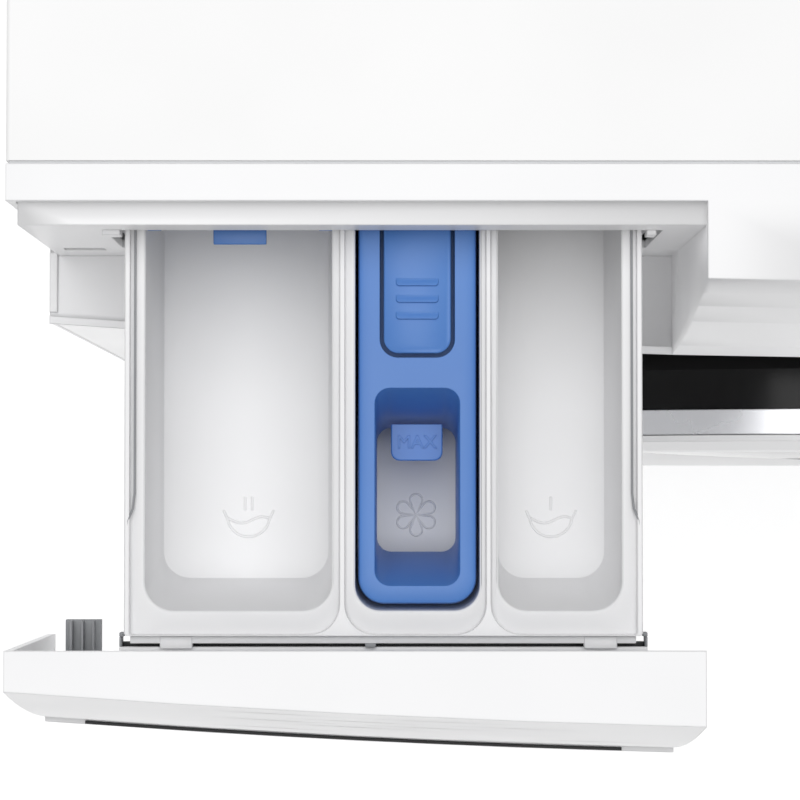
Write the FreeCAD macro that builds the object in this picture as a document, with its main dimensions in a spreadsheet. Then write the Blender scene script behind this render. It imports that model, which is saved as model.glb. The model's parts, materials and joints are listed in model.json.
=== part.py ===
import FreeCAD, Part
import math
import os
import re

import Sketcher

# A front load washing machine with its detergent drawer pulled open.
# Millimetres. X runs to the machine's right, -Y is its front, +Z is up, and
# the origin is on the floor under the middle of the casing.

os.makedirs("parts", exist_ok=True)
doc = FreeCAD.newDocument("front_load_washer")
Vector = FreeCAD.Vector

# ---------------------------------------------------------------- sizes

SIZES = {
    # casing
    "width": 598,
    "depth": 550,
    "height": 845,
    "gauge": 1.2,             # sheet steel
    "fit_gap": 0.4,           # between pieces that lie beside each other
    "foot_gap": 18,           # floor to the underside of the casing
    "foot_radius": 20,
    "foot_inset": 38,         # side of the casing to the middle of a foot
    "stud_radius": 5,
    "worktop_thick": 16,
    "seam_back": 39.4,        # casing front to the seam of the worktop
    "seam_gap": 0.8,
    "base_wall": 3,
    "base_rise": 30,
    "hatch_width": 440,       # opening in the rear wall
    "hatch_top": 690,
    "hatch_lap": 12,
    # control fascia
    "fascia_height": 115,
    "fascia_wall": 2.5,
    "crease_back": 5,         # casing front to the fascia's upper front edge
    "lean": 16.5,             # how far its lower edge stands in front of that
    "bow_radius": 4000,       # in plan
    "belly_radius": 860,      # in side view
    "foot_chamfer": 3,
    # detergent drawer
    "drawer_pull": 129,       # how far it is out
    "panel_wall": 2.5,
    "panel_gap": 0.8,
    "rim_back": 28.6,         # casing front to the panel's rear edge, shut
    "recess_back": 21.9,      # casing front to the wall behind the panel
    "ledge_drop": 3.5,
    "lip_rise": 1.5,
    "tray_inset": 32.5,       # casing side to the tray
    "tray_margin": 16.4,      # tray to the panel's right end
    "tray_setback": 31.4,
    "tray_length": 240,
    "tray_drop": 22,          # worktop to the rim of the tray
    "tray_height": 55,
    "tray_floor": 3,
    "tray_wall": 6.1,
    "wash_width": 55.1,
    "left_divider": 6.8,
    "soft_width": 36.8,
    "right_divider": 5.4,
    "pre_width": 36.5,
    "bay_setback": 7.4,       # tray front to the compartments
    "bay_corner": 7,
    "slide_gap": 2,           # tray to the housing and the mouth
    "housing_wall": 2,
    "housing_depth": 30,      # room behind the shut tray
    "housing_sump": 26,       # room below the tray
    "siphon_gap": 1,
    "siphon_wall": 1.8,
    "siphon_drop": 2,
    "siphon_end": 150,        # length of the siphon insert
    "tab_width": 19.6,
    "tab_gap": 0.9,
    # tub and drum
    "bottom_room": 165,       # floor to the lowest part of the tub
    "top_room": 35,           # tub to the bottom of the fascia
    "side_room": 35,
    "tub_wall": 3,
    "tub_flange": 9,
    "drum_gap": 15,
    "drum_gauge": 1.2,
    "drum_lip": 67,
    "tub_front": 70,          # casing front to the tub
    "tub_rear": 125,          # casing back to the rear wall of the tub
    "hub_length": 46,
    "hub_radius": 42,
    "shaft_radius": 15,
    "bearing_radius": 31,
    "bearing_width": 15,
    "running_gap": 0.08,
    "pulley_radius": 140,
    "pulley_width": 14,
    "belt_thick": 3,
    "belt_gap": 0.5,
    "pinion_radius": 10,
    "motor_radius": 52,
    "motor_length": 120,
    "motor_left": 105,
    "lifter_rise": 48,
    # door
    "mouth_gap": 7,           # drum mouth to the panel opening
    "door_overlap": 61,
    "door_proud": 40,
    "door_gap": 3.5,
    "glass_wall": 4,
    "glass_depth": 92,
    "hinge_clear": 9,
    "hinge_pin": 3,
    # pump and filter
    "pump_inset": 75.8,
    "pump_height": 88,
    "pump_radius": 34,
    "flap_width": 92,
    "flap_height": 92,
    "hose_radius": 11,
    "hose_wall": 2.5,
    # controls
    "knob_radius": 24,
    "knob_height": 20,
    "control_drop": 58,       # worktop to the middle of the control row
    "button_gap": 0.5,
}

RULES = {
    "left": "-width / 2",
    "right": "width / 2",
    "front": "-depth / 2",
    "back": "depth / 2",
    "casing_top": "height - worktop_thick",
    "casing_inner": "width / 2 - gauge",
    "fascia_foot": "height - fascia_height",
    "seam": "front + seam_back",
    "crease": "front + crease_back",
    "toe": "crease - lean",
    "rim": "front + rim_back",
    "recess": "front + recess_back",
    "ledge": "height - ledge_drop",
    "shelf": "fascia_foot + fascia_wall",
    "panel_foot": "shelf + lip_rise + panel_gap",
    "tray_width": "2 * tray_wall + wash_width + left_divider + soft_width + right_divider + pre_width",
    "panel_width": "tray_inset + tray_width + tray_margin",
    "panel_right": "left + panel_width",
    "recess_right": "panel_right + panel_gap",
    "tray_left": "left + tray_inset",
    "tray_right": "tray_left + tray_width",
    "tray_top": "height - tray_drop",
    "tray_low": "tray_top - tray_height",
    "tray_front": "front + tray_setback",
    "bay_front": "tray_front + bay_setback",
    "bay_floor": "tray_low + tray_floor",
    "wash_left": "tray_left + tray_wall",
    "soft_left": "wash_left + wash_width + left_divider",
    "pre_left": "soft_left + soft_width + right_divider",
    "housing_left": "tray_left - slide_gap - housing_wall",
    "housing_right": "tray_right + slide_gap + housing_wall",
    "housing_back": "tray_front + tray_length + housing_depth",
    "housing_front": "recess + fascia_wall + fit_gap",
    "housing_low": "tray_low - housing_sump",
    "tub_inner": "min(width / 2 - gauge - side_room - tub_flange - tub_wall;"
                 " (fascia_foot - top_room - bottom_room) / 2 - tub_wall)",
    "pump_right": "casing_inner - pump_inset",
    "tub_outer": "tub_inner + tub_wall",
    "axis": "(fascia_foot - top_room + bottom_room) / 2",
    "drum_radius": "tub_inner - drum_gap",
    "drum_mouth": "drum_radius - drum_lip",
    "tub_face": "front + tub_front",
    "tub_back": "back - tub_rear",
    "drum_face": "tub_face + 14",
    "drum_back": "tub_back - 26",
    "hub_end": "tub_back + hub_length",
    "pulley_face": "hub_end + 11",
    "mouth": "drum_mouth + mouth_gap",
    "neck": "drum_mouth + mouth_gap - 3",
    "door_radius": "mouth + door_overlap",
    "door_back": "front - door_gap",
    "door_front": "front - door_proud",
    "hinge_side": "-door_radius - hinge_clear",
    "hinge_out": "front - 19",
    "motor_height": "axis - tub_outer - motor_radius - 13",
    "siphon_left": "soft_left + siphon_gap",
    "siphon_right": "soft_left + soft_width - siphon_gap",
    "siphon_top": "tray_top - siphon_drop",
    "siphon_front": "bay_front + siphon_gap + 1",
    "siphon_back": "siphon_front + siphon_end",
}

sheet = doc.addObject("Spreadsheet::Sheet", "Sizes")
for row, (name, number) in enumerate(SIZES.items(), start=1):
    sheet.set(f"A{row}", name)
    sheet.set(f"B{row}", str(number))
    sheet.setAlias(f"B{row}", name)
doc.recompute()

WORD = re.compile(r"[a-z_]+")


def formula(text):
    """Spell a rule out until it names only cells of the sheet."""

    def spell(match):
        word = match.group()
        if word in SIZES:
            return "Sizes." + word
        if word in RULES:
            return "(" + formula(RULES[word]) + ")"
        return word

    return WORD.sub(spell, text)


def value(text):
    return float(sheet.evalExpression(formula(text)))


# ---------------------------------------------------------------- makers

AXES = {
    "x": FreeCAD.Rotation(Vector(0, 1, 0), 90),
    "y": FreeCAD.Rotation(Vector(1, 0, 0), -90),
    "z": FreeCAD.Rotation(),
}
FINISHED = []


def bind(item, settings):
    for key, text in settings.items():
        item.setExpression(key, formula(text))


def place(item, x="0", y="0", z="0"):
    bind(item, {"Placement.Base.x": x, "Placement.Base.y": y, "Placement.Base.z": z})


def box(name, x, y, z):
    """A block between pairs of limits."""
    item = doc.addObject("Part::Box", name)
    sides = {"Length": x, "Width": y, "Height": z}
    bind(item, {side: f"({high}) - ({low})" for side, (low, high) in sides.items()})
    place(item, x[0], y[0], z[0])
    return item


def rod(name, direction, radius, span, centre):
    """A cylinder along one axis; centre gives its other two coordinates."""
    item = doc.addObject("Part::Cylinder", name)
    item.Placement.Rotation = AXES[direction]
    bind(item, {"Radius": radius, "Height": f"({span[1]}) - ({span[0]})"})
    at = list(centre)
    at.insert("xyz".index(direction), span[0])
    place(item, *at)
    return item


def join(name, *pieces):
    item = doc.addObject("Part::MultiFuse", name)
    item.Shapes = list(pieces)
    return item


def cut(name, base, *tools):
    item = doc.addObject("Part::Cut", name)
    item.Base = base
    item.Tool = tools[0] if len(tools) == 1 else join(name + "_cutter", *tools)
    return item


def common(name, first, second):
    item = doc.addObject("Part::Common", name)
    item.Base = first
    item.Tool = second
    return item


def group(name, *pieces):
    """Separate solids kept together in one node."""
    item = doc.addObject("Part::Compound", name)
    item.Links = list(pieces)
    return item


def drawn(name, plane, corners):
    """A body with a closed outline. A corner is (x, y), or (x, y, radius, side)
    where an arc of that radius runs on to the next corner, bulging to the left
    (+1) or the right (-1) of the way it goes."""
    body = doc.addObject("PartDesign::Body", name)
    support = [item for item in body.Origin.OriginFeatures if item.Role == plane][0]
    sketch = body.newObject("Sketcher::SketchObject", name + "_outline")
    sketch.AttachmentSupport = [(support, "")]
    sketch.MapMode = "FlatFace"
    points = [Vector(value(corner[0]), value(corner[1]), 0) for corner in corners]
    for index, corner in enumerate(corners):
        start = points[index]
        end = points[(index + 1) % len(points)]
        if len(corner) == 4:
            half = (end - start) * 0.5
            radius = value(corner[2])
            rise = radius - math.sqrt(radius ** 2 - half.Length ** 2)
            bulge = Vector(-half.y, half.x, 0).normalize() * rise * corner[3]
            if corner[3] > 0:
                start, end = end, start
            sketch.addGeometry(Part.Arc(start, (start + end) * 0.5 + bulge, end))
        else:
            sketch.addGeometry(Part.LineSegment(start, end))
    # A sketch's arcs run anticlockwise, so one that bulges left is drawn backwards.
    ends = [(2, 1) if len(corner) == 4 and corner[3] > 0 else (1, 2) for corner in corners]
    for index, corner in enumerate(corners):
        after = (index + 1) % len(corners)
        sketch.addConstraint(
            Sketcher.Constraint("Coincident", index, ends[index][1], after, ends[after][0]))
        for kind, text, axis, number in (("DistanceX", corner[0], -2, points[index].x),
                                         ("DistanceY", corner[1], -1, points[index].y)):
            if text == "0":
                sketch.addConstraint(
                    Sketcher.Constraint("PointOnObject", index, ends[index][0], axis))
                continue
            held = sketch.addConstraint(
                Sketcher.Constraint(kind, -1, 1, index, ends[index][0], number))
            sketch.setExpression(f"Constraints[{held}]", formula(text))
        if len(corner) == 4:
            held = sketch.addConstraint(
                Sketcher.Constraint("Radius", index, value(corner[2])))
            sketch.setExpression(f"Constraints[{held}]", formula(corner[2]))
    return body, sketch


def turned(name, corners, plane="XY_Plane", z="axis", angle=360):
    """A solid of revolution. In XY_Plane a corner is (radius, y) and the axis is
    the drum's; in XZ_Plane it is (radius, z) about an upright axis."""
    body, sketch = drawn(name, plane, corners)
    spin = body.newObject("PartDesign::Revolution", name + "_turn")
    spin.Profile = sketch
    spin.ReferenceAxis = (sketch, ["V_Axis"])
    spin.Angle = angle
    spin.Midplane = True
    place(body, z=z)
    return body


def padded(name, plane, corners, length, both=False):
    """A straight extrusion of an outline."""
    body, sketch = drawn(name, plane, corners)
    pad = body.newObject("PartDesign::Pad", name + "_pad")
    pad.Profile = sketch
    pad.Midplane = both
    bind(pad, {"Length": length})
    return body


def rounded(body, name, radius, pick):
    """Fillet the edges of a body that pick chooses."""
    doc.recompute()
    base = body.Tip
    names = [f"Edge{number}" for number, edge in enumerate(base.Shape.Edges, start=1)
             if pick(edge)]
    fillet = body.newObject("PartDesign::Fillet", name)
    fillet.Base = (base, names)
    bind(fillet, {"Radius": radius})
    return body


def upright(edge):
    ends = [vertex.Point for vertex in edge.Vertexes]
    return len(ends) == 2 and abs(ends[0].x - ends[1].x) + abs(ends[0].y - ends[1].y) < 1e-6


def node(item, label):
    item.Label = label
    FINISHED.append(item)
    return item


def swept(name, points, radius, inner, bend):
    """A hose: straight runs joined by tangent arcs."""
    edges = []
    start = points[0]
    for before, corner, after in zip(points, points[1:], points[2:]):
        arrive = (corner - before).normalize()
        leave = (after - corner).normalize()
        turn = arrive.getAngle(leave)
        reach = bend * math.tan(turn / 2)
        first = corner - arrive * reach
        last = corner + leave * reach
        inward = (leave - arrive).normalize()
        middle = corner + inward * (bend / math.cos(turn / 2) - bend)
        edges.append(Part.LineSegment(start, first).toShape())
        edges.append(Part.Arc(first, middle, last).toShape())
        start = last
    edges.append(Part.LineSegment(start, points[-1]).toShape())
    path = Part.Wire(edges)
    way = (points[1] - points[0]).normalize()
    walls = []
    for size in (radius, inner):
        circle = Part.Wire(Part.makeCircle(size, points[0], way))
        walls.append(path.makePipeShell([circle], True, True))
    hose = walls[0].cut(walls[1])
    expected = math.pi * (radius ** 2 - inner ** 2) * path.Length
    if abs(hose.Volume / expected - 1) > 0.01:
        raise ValueError(f"{name} does not follow its path")
    item = doc.addObject("Part::Feature", name)
    item.Shape = hose
    return item


def face_point(x, drop):
    """A point on the fascia's bowed front, a given drop below the worktop."""
    bow = value("bow_radius") - math.sqrt(value("bow_radius") ** 2 - x ** 2)
    run = value("fascia_height") - value("foot_chamfer")
    chord = math.hypot(run, value("lean"))
    sag = value("belly_radius") - math.sqrt(value("belly_radius") ** 2 - chord ** 2 / 4)
    share = drop / run
    bulge = 4 * sag * share * (1 - share)
    return Vector(x, value("crease") + bow - value("lean") * share - bulge, value("height") - drop)


def face_turn(x):
    """The turn that sets a piece's -Y square to the fascia's front."""
    run = value("fascia_height") - value("foot_chamfer")
    tilt = math.degrees(math.atan2(value("lean"), run))
    yaw = math.degrees(math.asin(x / value("bow_radius")))
    return FreeCAD.Rotation(Vector(0, 0, 1), yaw) * FreeCAD.Rotation(Vector(1, 0, 0), -tilt)


def on_face(item, x, drop, offset=Vector(0, 0, 0), turn=FreeCAD.Rotation()):
    """Place a piece whose own -Y points out of the fascia."""
    face = FreeCAD.Placement(face_point(x, drop), face_turn(x))
    item.Placement = face.multiply(FreeCAD.Placement(offset, turn))
    return item


def face_block(name, x, drop, wide, reach, tall):
    """A block set into the fascia; reach is its depth, from outside to inside."""
    item = doc.addObject("Part::Box", name)
    bind(item, {"Length": wide, "Width": f"({reach[1]}) - ({reach[0]})", "Height": tall})
    corner = Vector(-value(wide) / 2, value(reach[0]), -value(tall) / 2)
    return on_face(item, x, drop, corner)


def face_rod(name, x, drop, radius, reach, tip=None):
    """A round piece set into the fascia, tapered to tip at its outer end."""
    item = doc.addObject("Part::Cone" if tip else "Part::Cylinder", name)
    bind(item, {"Height": f"({reach[1]}) - ({reach[0]})"})
    bind(item, {"Radius1": tip, "Radius2": radius} if tip else {"Radius": radius})
    return on_face(item, x, drop, Vector(0, value(reach[0]), 0), AXES["y"])


def bowed(name, corners):
    """A solid that follows the fascia's bow; a corner is (y, z) at mid width."""
    outline = [(f"bow_radius + crease - ({corner[0]})", *corner[1:]) for corner in corners]
    body, sketch = drawn(name, "XZ_Plane", outline)
    spin = body.newObject("PartDesign::Revolution", name + "_turn")
    spin.Profile = sketch
    spin.ReferenceAxis = (sketch, ["V_Axis"])
    spin.Midplane = True
    bind(spin, {"Angle": "2 * asin(width / 2 / bow_radius) + 1 deg"})
    body.Placement.Rotation = FreeCAD.Rotation(Vector(0, 0, 1), -90)
    place(body, y="crease + bow_radius")
    return body


def pulled(item):
    """Draw a piece that is modelled in the shut drawer out to the rest pose."""
    place(item, y="-drawer_pull")
    return item


SIDES = ("-width", "width")
AHEAD = "front - 60"

# ---------------------------------------------------------------- casing

VALVE_X = "housing_left + 86"
VALVE_Z = "casing_top - 33"
DRAIN_X = "casing_inner - 38"
DRAIN_Z = "fascia_foot - 40"
GLAND_X = "-casing_inner + 47"
HATCH_LOW = "foot_gap + base_rise + 14"
HOOK_X = "mouth + 26"


def screw_places():
    """Where the rear cover is screwed on: up both sides and across the top."""
    half = value("hatch_width") / 2 + value("hatch_lap") / 2
    low = value(HATCH_LOW)
    high = value("hatch_top")
    rows = [low + (high - low) * step / 4 for step in range(5)]
    sides = [(side * half, z) for side in (-1, 1) for z in rows]
    return sides + [(0, value("hatch_top") + value("hatch_lap") / 2)]


def rear_rods(name, radius, start, end):
    rods = []
    for number, (x, z) in enumerate(screw_places(), start=1):
        rods.append(rod(f"{name}_{number}", "y", radius, (start, end), (str(x), str(z))))
    return rods


def cabinet_shell():
    wrap = box("wrap", ("left", "right"), ("front", "back"), ("foot_gap", "casing_top"))
    hollow = box("wrap_hollow", ("-casing_inner", "casing_inner"),
                 ("front - 1", "back - gauge"), ("foot_gap - 1", "casing_top + 1"))
    notch = box("wrap_notch", SIDES, ("front - 1", "seam + fit_gap"),
                ("fascia_foot - fit_gap", "height"))
    hatch = box("wrap_hatch", ("-hatch_width / 2", "hatch_width / 2"),
                ("back - gauge - 1", "back + 1"), (HATCH_LOW, "hatch_top"))
    through = ("back - gauge - 1", "back + 1")
    holes = [rod("valve_hole", "y", "14", through, (VALVE_X, VALVE_Z)),
             rod("drain_hole", "y", "12", through, (DRAIN_X, DRAIN_Z)),
             rod("gland_hole", "y", "7", through, (GLAND_X, DRAIN_Z))]
    holes += rear_rods("wrap_screw_hole", "1.9", "back - gauge - 1", "back + 1")
    walls = cut("wrap_walls", wrap, hollow, notch, hatch, *holes)
    lips = []
    for side, low, high in (("left", "-casing_inner", "-casing_inner + 15"),
                            ("right", "casing_inner - 15", "casing_inner")):
        lips.append(box(f"{side}_lip", (low, high),
                        ("front + gauge + fit_gap", "front + 2 * gauge + fit_gap"),
                        ("foot_gap", "fascia_foot - fit_gap")))
    channel = box("brace_channel", ("-casing_inner", "casing_inner"), ("76", "104"),
                  ("casing_top - 22", "casing_top"))
    channel_space = box("brace_space", ("-casing_inner", "casing_inner"),
                        ("76 + gauge", "104 - gauge"),
                        ("casing_top - 22 + gauge", "casing_top + 1"))
    brace = cut("top_brace", channel, channel_space)
    return node(join("wrap_with_lips", walls, brace, *lips), "cabinet_shell")


def front_panel():
    wide = ("-casing_inner + fit_gap", "casing_inner - fit_gap")
    narrow = ("-casing_inner + 20", "casing_inner - 20")
    fold = ("front + gauge", "front + 13")
    plate = box("front_plate", wide, ("front", "front + gauge"),
                ("foot_gap", "fascia_foot - fit_gap"))
    top_fold = box("top_fold", narrow, fold,
                   ("fascia_foot - fit_gap - gauge", "fascia_foot - fit_gap"))
    low_fold = box("low_fold", narrow, fold, ("foot_gap", "foot_gap + gauge"))
    collar = rod("collar", "y", "mouth + gauge", ("front", "front + 20"), ("0", "axis"))
    porthole = rod("porthole", "y", "mouth", ("front - 1", "front + 21"), ("0", "axis"))
    flap_hole = box("flap_hole", ("pump_right - flap_width / 2", "pump_right + flap_width / 2"),
                    ("front - 1", "front + gauge + 1"),
                    ("pump_height - flap_height / 2", "pump_height + flap_height / 2"))
    hook_slot = box("hook_slot", (f"{HOOK_X} - 10", f"{HOOK_X} + 10"),
                    ("front - 1", "front + gauge + 1"), ("axis - 14", "axis + 14"))
    sheet_metal = join("front_sheet", plate, top_fold, low_fold, collar)
    return node(cut("front_pressing", sheet_metal, porthole, flap_hole, hook_slot), "front_panel")


def foot_places():
    across = value("right - foot_inset")
    along = value("back - foot_inset")
    return [(x, y) for x in (-across, across) for y in (-along, along)]


def base_tray():
    outer = box("base_block", ("-casing_inner + fit_gap", "casing_inner - fit_gap"),
                ("front + 16", "back - gauge - fit_gap"), ("foot_gap", "foot_gap + base_rise"))
    hollow = box("base_hollow",
                 ("-casing_inner + fit_gap + base_wall", "casing_inner - fit_gap - base_wall"),
                 ("front + 16 + base_wall", "back - gauge - fit_gap - base_wall"),
                 ("foot_gap + base_wall", "foot_gap + base_rise + 1"))
    holes = [rod(f"stud_hole_{number}", "z", "stud_radius + 0.2",
                 ("foot_gap - 1", "foot_gap + base_wall + 1"), (str(x), str(y)))
             for number, (x, y) in enumerate(foot_places(), start=1)]
    return node(cut("base_moulding", outer, hollow, *holes), "base_tray")


def feet():
    pads = []
    studs = []
    nuts = []
    for number, (x, y) in enumerate(foot_places(), start=1):
        at = (str(x), str(y))
        pads.append(rod(f"pad_{number}", "z", "foot_radius", ("0", "5"), at))
        disc = rod(f"disc_{number}", "z", "foot_radius - 2", ("5", "9"), at)
        thread = rod(f"thread_{number}", "z", "stud_radius", ("8", "foot_gap + 22"), at)
        studs.append(join(f"stud_{number}", disc, thread))
        hexagon = doc.addObject("Part::Prism", f"hexagon_{number}")
        bind(hexagon, {"Circumradius": "2 * stud_radius", "Height": "foot_gap - 11"})
        place(hexagon, at[0], at[1], "10")
        bore = rod(f"nut_bore_{number}", "z", "stud_radius", ("9", "foot_gap"), at)
        nuts.append(cut(f"nut_{number}", hexagon, bore))
    return [node(group("pads", *pads), "foot_pads"),
            node(group("studs", *studs, *nuts), "foot_studs")]


def rear_cover():
    plate = box("hatch_plate", ("-hatch_width / 2 - hatch_lap", "hatch_width / 2 + hatch_lap"),
                ("back", "back + gauge"), (f"{HATCH_LOW} - hatch_lap", "hatch_top + hatch_lap"))
    dish = box("hatch_dish", ("-hatch_width / 2 + 30", "hatch_width / 2 - 30"),
               ("back", "back + 9"), (f"{HATCH_LOW} + 40", "hatch_top - 40"))
    dish_hollow = box("hatch_dish_hollow",
                      ("-hatch_width / 2 + 30 + gauge", "hatch_width / 2 - 30 - gauge"),
                      ("back - 1", "back + 9 - gauge"),
                      (f"{HATCH_LOW} + 40 + gauge", "hatch_top - 40 - gauge"))
    holes = rear_rods("hatch_screw_hole", "1.9", "back - 1", "back + gauge + 1")
    cover = cut("hatch_pressing", join("hatch_sheet", plate, dish), dish_hollow, *holes)
    heads = rear_rods("rear_screw_head", "4", "back + gauge", "back + gauge + 2.4")
    shanks = rear_rods("rear_screw_shank", "1.8", "back - 7", "back + gauge + 1")
    screws = [join(f"rear_screw_{number}", head, shank)
              for number, (head, shank) in enumerate(zip(heads, shanks), start=1)]
    node(cover, "rear_cover")
    return screws


def worktop():
    body = padded("worktop_board", "XY_Plane",
                  [("left", "seam + seam_gap"), ("right", "seam + seam_gap"),
                   ("right", "back + 3"), ("left", "back + 3")], "worktop_thick")
    place(body, z="casing_top")
    rounded(body, "worktop_corners", "4",
            lambda edge: upright(edge) and edge.CenterOfMass.y > 0)
    rounded(body, "worktop_edge", "1.2",
            lambda edge: edge.CenterOfMass.z > value("worktop_thick") - 0.1
            and edge.CenterOfMass.y > value("seam") + 5)
    return node(body, "worktop")


# ---------------------------------------------------------------- fascia

FASCIA_FRONT = [("seam", "height"), ("crease", "height", "belly_radius", 1),
                ("toe", "fascia_foot + foot_chamfer"), ("toe + foot_chamfer", "fascia_foot"),
                ("seam", "fascia_foot")]
FASCIA_CORE = [("seam + 2", "height - fascia_wall"),
               ("crease + fascia_wall", "height - fascia_wall", "belly_radius", 1),
               ("toe + fascia_wall", "shelf"), ("seam + 2", "shelf")]
KNOB_AT = (20, "control_drop")
DISPLAY_AT = (126, "control_drop - 12")
KEYS = {
    "button_temperature": (93, "control_drop + 24", 18),
    "button_spin_speed": (119, "control_drop + 24", 18),
    "button_start": (222, "control_drop", 30),
    "button_power": (264, "control_drop", 20),
}
KEY_TALL = "9"


def fascia(block, core):
    shell = cut("fascia_skin", block, core)
    window = box("fascia_window", ("left", "right"), (AHEAD, "seam"),
                 ("fascia_foot - 1", "height + 1"))
    bare = common("fascia_bare", shell, window)
    bay = box("panel_bay", ("left - 1", "recess_right"), (AHEAD, "rim"),
              ("shelf + lip_rise", "height + 1"))
    ends = []
    for name, x, y in (("right_end", ("right - fascia_wall", "right"), (AHEAD, "seam")),
                       ("bay_side", ("recess_right", "recess_right + fascia_wall"), (AHEAD, "seam")),
                       ("left_end", ("left", "left + fascia_wall"), ("rim", "seam"))):
        ends.append(common(name, block, box(name + "_slice", x, y,
                                            ("fascia_foot", "height + 1"))))
    wall_left = "left + panel_wall + 0.6"
    wall = box("bay_wall", (wall_left, "recess_right + 1"), ("recess", "recess + fascia_wall"),
               ("shelf - 1", "ledge"))
    ledge = box("bay_ledge", (wall_left, "recess_right + 1"), ("recess", "rim + 4"),
                ("ledge - fascia_wall", "ledge"))
    riser = box("bay_riser", ("left + 1", "recess_right + 1"), ("rim", "rim + 4"),
                ("ledge - 1", "height - fascia_wall + 0.5"))
    lip = box("shelf_lip", ("left", "left + fascia_wall"), ("toe + 15", "recess + 1"),
              ("shelf - 1", "shelf + lip_rise"))
    mouth = box("tray_mouth", ("tray_left - slide_gap - 4", "tray_right + slide_gap + 4"),
                ("recess - 1", "recess + fascia_wall + 1"), ("tray_low - 4", "tray_top + 2"))
    guides = []
    for side, low, high in (("left", "tray_left - 6.5", "tray_left - 1.2"),
                            ("right", "tray_right + 1.2", "tray_right + 4")):
        guides.append(box(f"{side}_guide", (low, high), ("recess - 1.5", "recess + fascia_wall"),
                          ("tray_top - 5", "tray_top + 3")))
    skin = cut("fascia_open", bare, bay)
    solid = join("fascia_solid", skin, *ends, wall, ledge, riser, lip)
    holes = [face_rod("knob_hole", KNOB_AT[0], value(KNOB_AT[1]), "8", ("-6", "10")),
             face_block("display_hole", DISPLAY_AT[0], value(DISPLAY_AT[1]),
                        "100.8", ("-6", "10"), "30.8")]
    for label, (x, drop, wide) in KEYS.items():
        holes.append(face_block(label + "_hole", x, value(drop), f"{wide} + 2 * button_gap",
                                ("-6", "10"), f"{KEY_TALL} + 2 * button_gap"))
    pierced = cut("fascia_pierced", solid, mouth, *holes)
    return node(join("fascia_moulding", pierced, *guides), "fascia")


def controls():
    made = []
    drop = value(KNOB_AT[1])
    skirt = face_rod("knob_skirt", KNOB_AT[0], drop, "knob_radius + 3", ("-4", "-1.2"))
    cap = face_rod("knob_cap", KNOB_AT[0], drop, "knob_radius", ("-knob_height", "-3.5"),
                   tip="knob_radius - 2")
    spindle = face_rod("knob_spindle", KNOB_AT[0], drop, "5", ("-2", "12"))
    made.append(node(join("knob_moulding", skirt, cap, spindle), "programme_knob"))
    made.append(node(face_block("display_pane", DISPLAY_AT[0], value(DISPLAY_AT[1]),
                                "100", ("-0.3", "2.5"), "30"), "display_window"))
    made.append(node(face_block("board", 140, value("control_drop"), "270", ("18.4", "21.4"), "78"),
                     "control_board"))
    for label, (x, drop, wide) in KEYS.items():
        face = face_block(label + "_face", x, value(drop), str(wide), ("-2", "4.5"), KEY_TALL)
        flange = face_block(label + "_flange", x, value(drop), f"{wide} + 4", ("4.2", "6"),
                            f"{KEY_TALL} + 4")
        stem = face_rod(label + "_stem", x, value(drop), "2", ("5", "14"))
        made.append(node(join(label + "_moulding", face, flange, stem), label))
    return made


# ---------------------------------------------------------------- drawer

TAB_FRONT = "siphon_front + 74"
TAB_PIVOT = ("siphon_back - 12", "siphon_top - siphon_wall - 0.7")
FLAP_PIVOT = ("bay_front + 116", "tray_top - 7")
WELL = ("siphon_front + 5.5", "siphon_front + 63.5")
SOFT_MID = "soft_left + soft_width / 2"


def drawer_panel(block, core):
    slab = box("panel_slab", ("left", "panel_right"), (AHEAD, "recess - 0.6"),
               ("panel_foot", "height + 1"))
    top = box("panel_top", ("left", "panel_right"), ("recess - 1", "rim - 0.5"),
              ("height - panel_wall", "height + 1"))
    side = box("panel_side", ("left", "left + panel_wall"), ("recess - 1", "rim - 0.5"),
               ("panel_foot", "height + 1"))
    outer = common("panel_block", block, join("panel_limits", slab, top, side))
    inside = box("panel_inside", ("left + panel_wall", "panel_right - panel_wall"),
                 (AHEAD, "rim"), ("panel_foot + panel_wall", "height - panel_wall"))
    hollow = common("panel_hollow", core, inside)
    line = bowed("panel_line", [("toe - 2", "panel_foot + 4"), ("toe - 2", "panel_foot + 5.2"),
                                ("toe + 1.8", "panel_foot + 5.2"), ("toe + 1.8", "panel_foot + 4")])
    span = box("panel_line_span", ("left + 2", "panel_right - 4"), (AHEAD, "rim"),
               ("panel_foot", "height"))
    return node(pulled(cut("panel_moulding", outer, hollow, common("panel_groove", line, span))),
                "drawer_panel")


def drawer_carrier(core):
    """The ribbed frame that ties the panel to the tray."""
    bars = []
    for number, inset in enumerate(("8", "tray_width / 2 - 4", "tray_width - 16"), start=1):
        bars.append(box(f"carrier_bar_{number}", (f"tray_left + {inset}", f"tray_left + {inset} + 8"),
                        (AHEAD, "tray_front"), ("tray_low + 8", "tray_top - 3")))
    plate = box("carrier_plate", ("tray_left + 4", "tray_right - 4"),
                ("tray_front - 3", "tray_front"), ("tray_low + 4", "tray_top - 1"))
    return node(pulled(common("carrier_moulding", core, join("carrier_parts", plate, *bars))),
                "drawer_carrier")


def bay(name, start, wide):
    """The space of one compartment, round at its corners and along its floor."""
    body = padded(name, "XY_Plane",
                  [(start, "bay_front"), (f"{start} + {wide}", "bay_front"),
                   (f"{start} + {wide}", "tray_front + tray_length - tray_floor"),
                   (start, "tray_front + tray_length - tray_floor")],
                  "tray_height - tray_floor + 5")
    place(body, z="bay_floor")
    rounded(body, name + "_corners", "bay_corner", upright)
    return rounded(body, name + "_floor", "bay_corner - 0.5",
                   lambda edge: edge.BoundBox.ZMax < 0.01)


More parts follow.
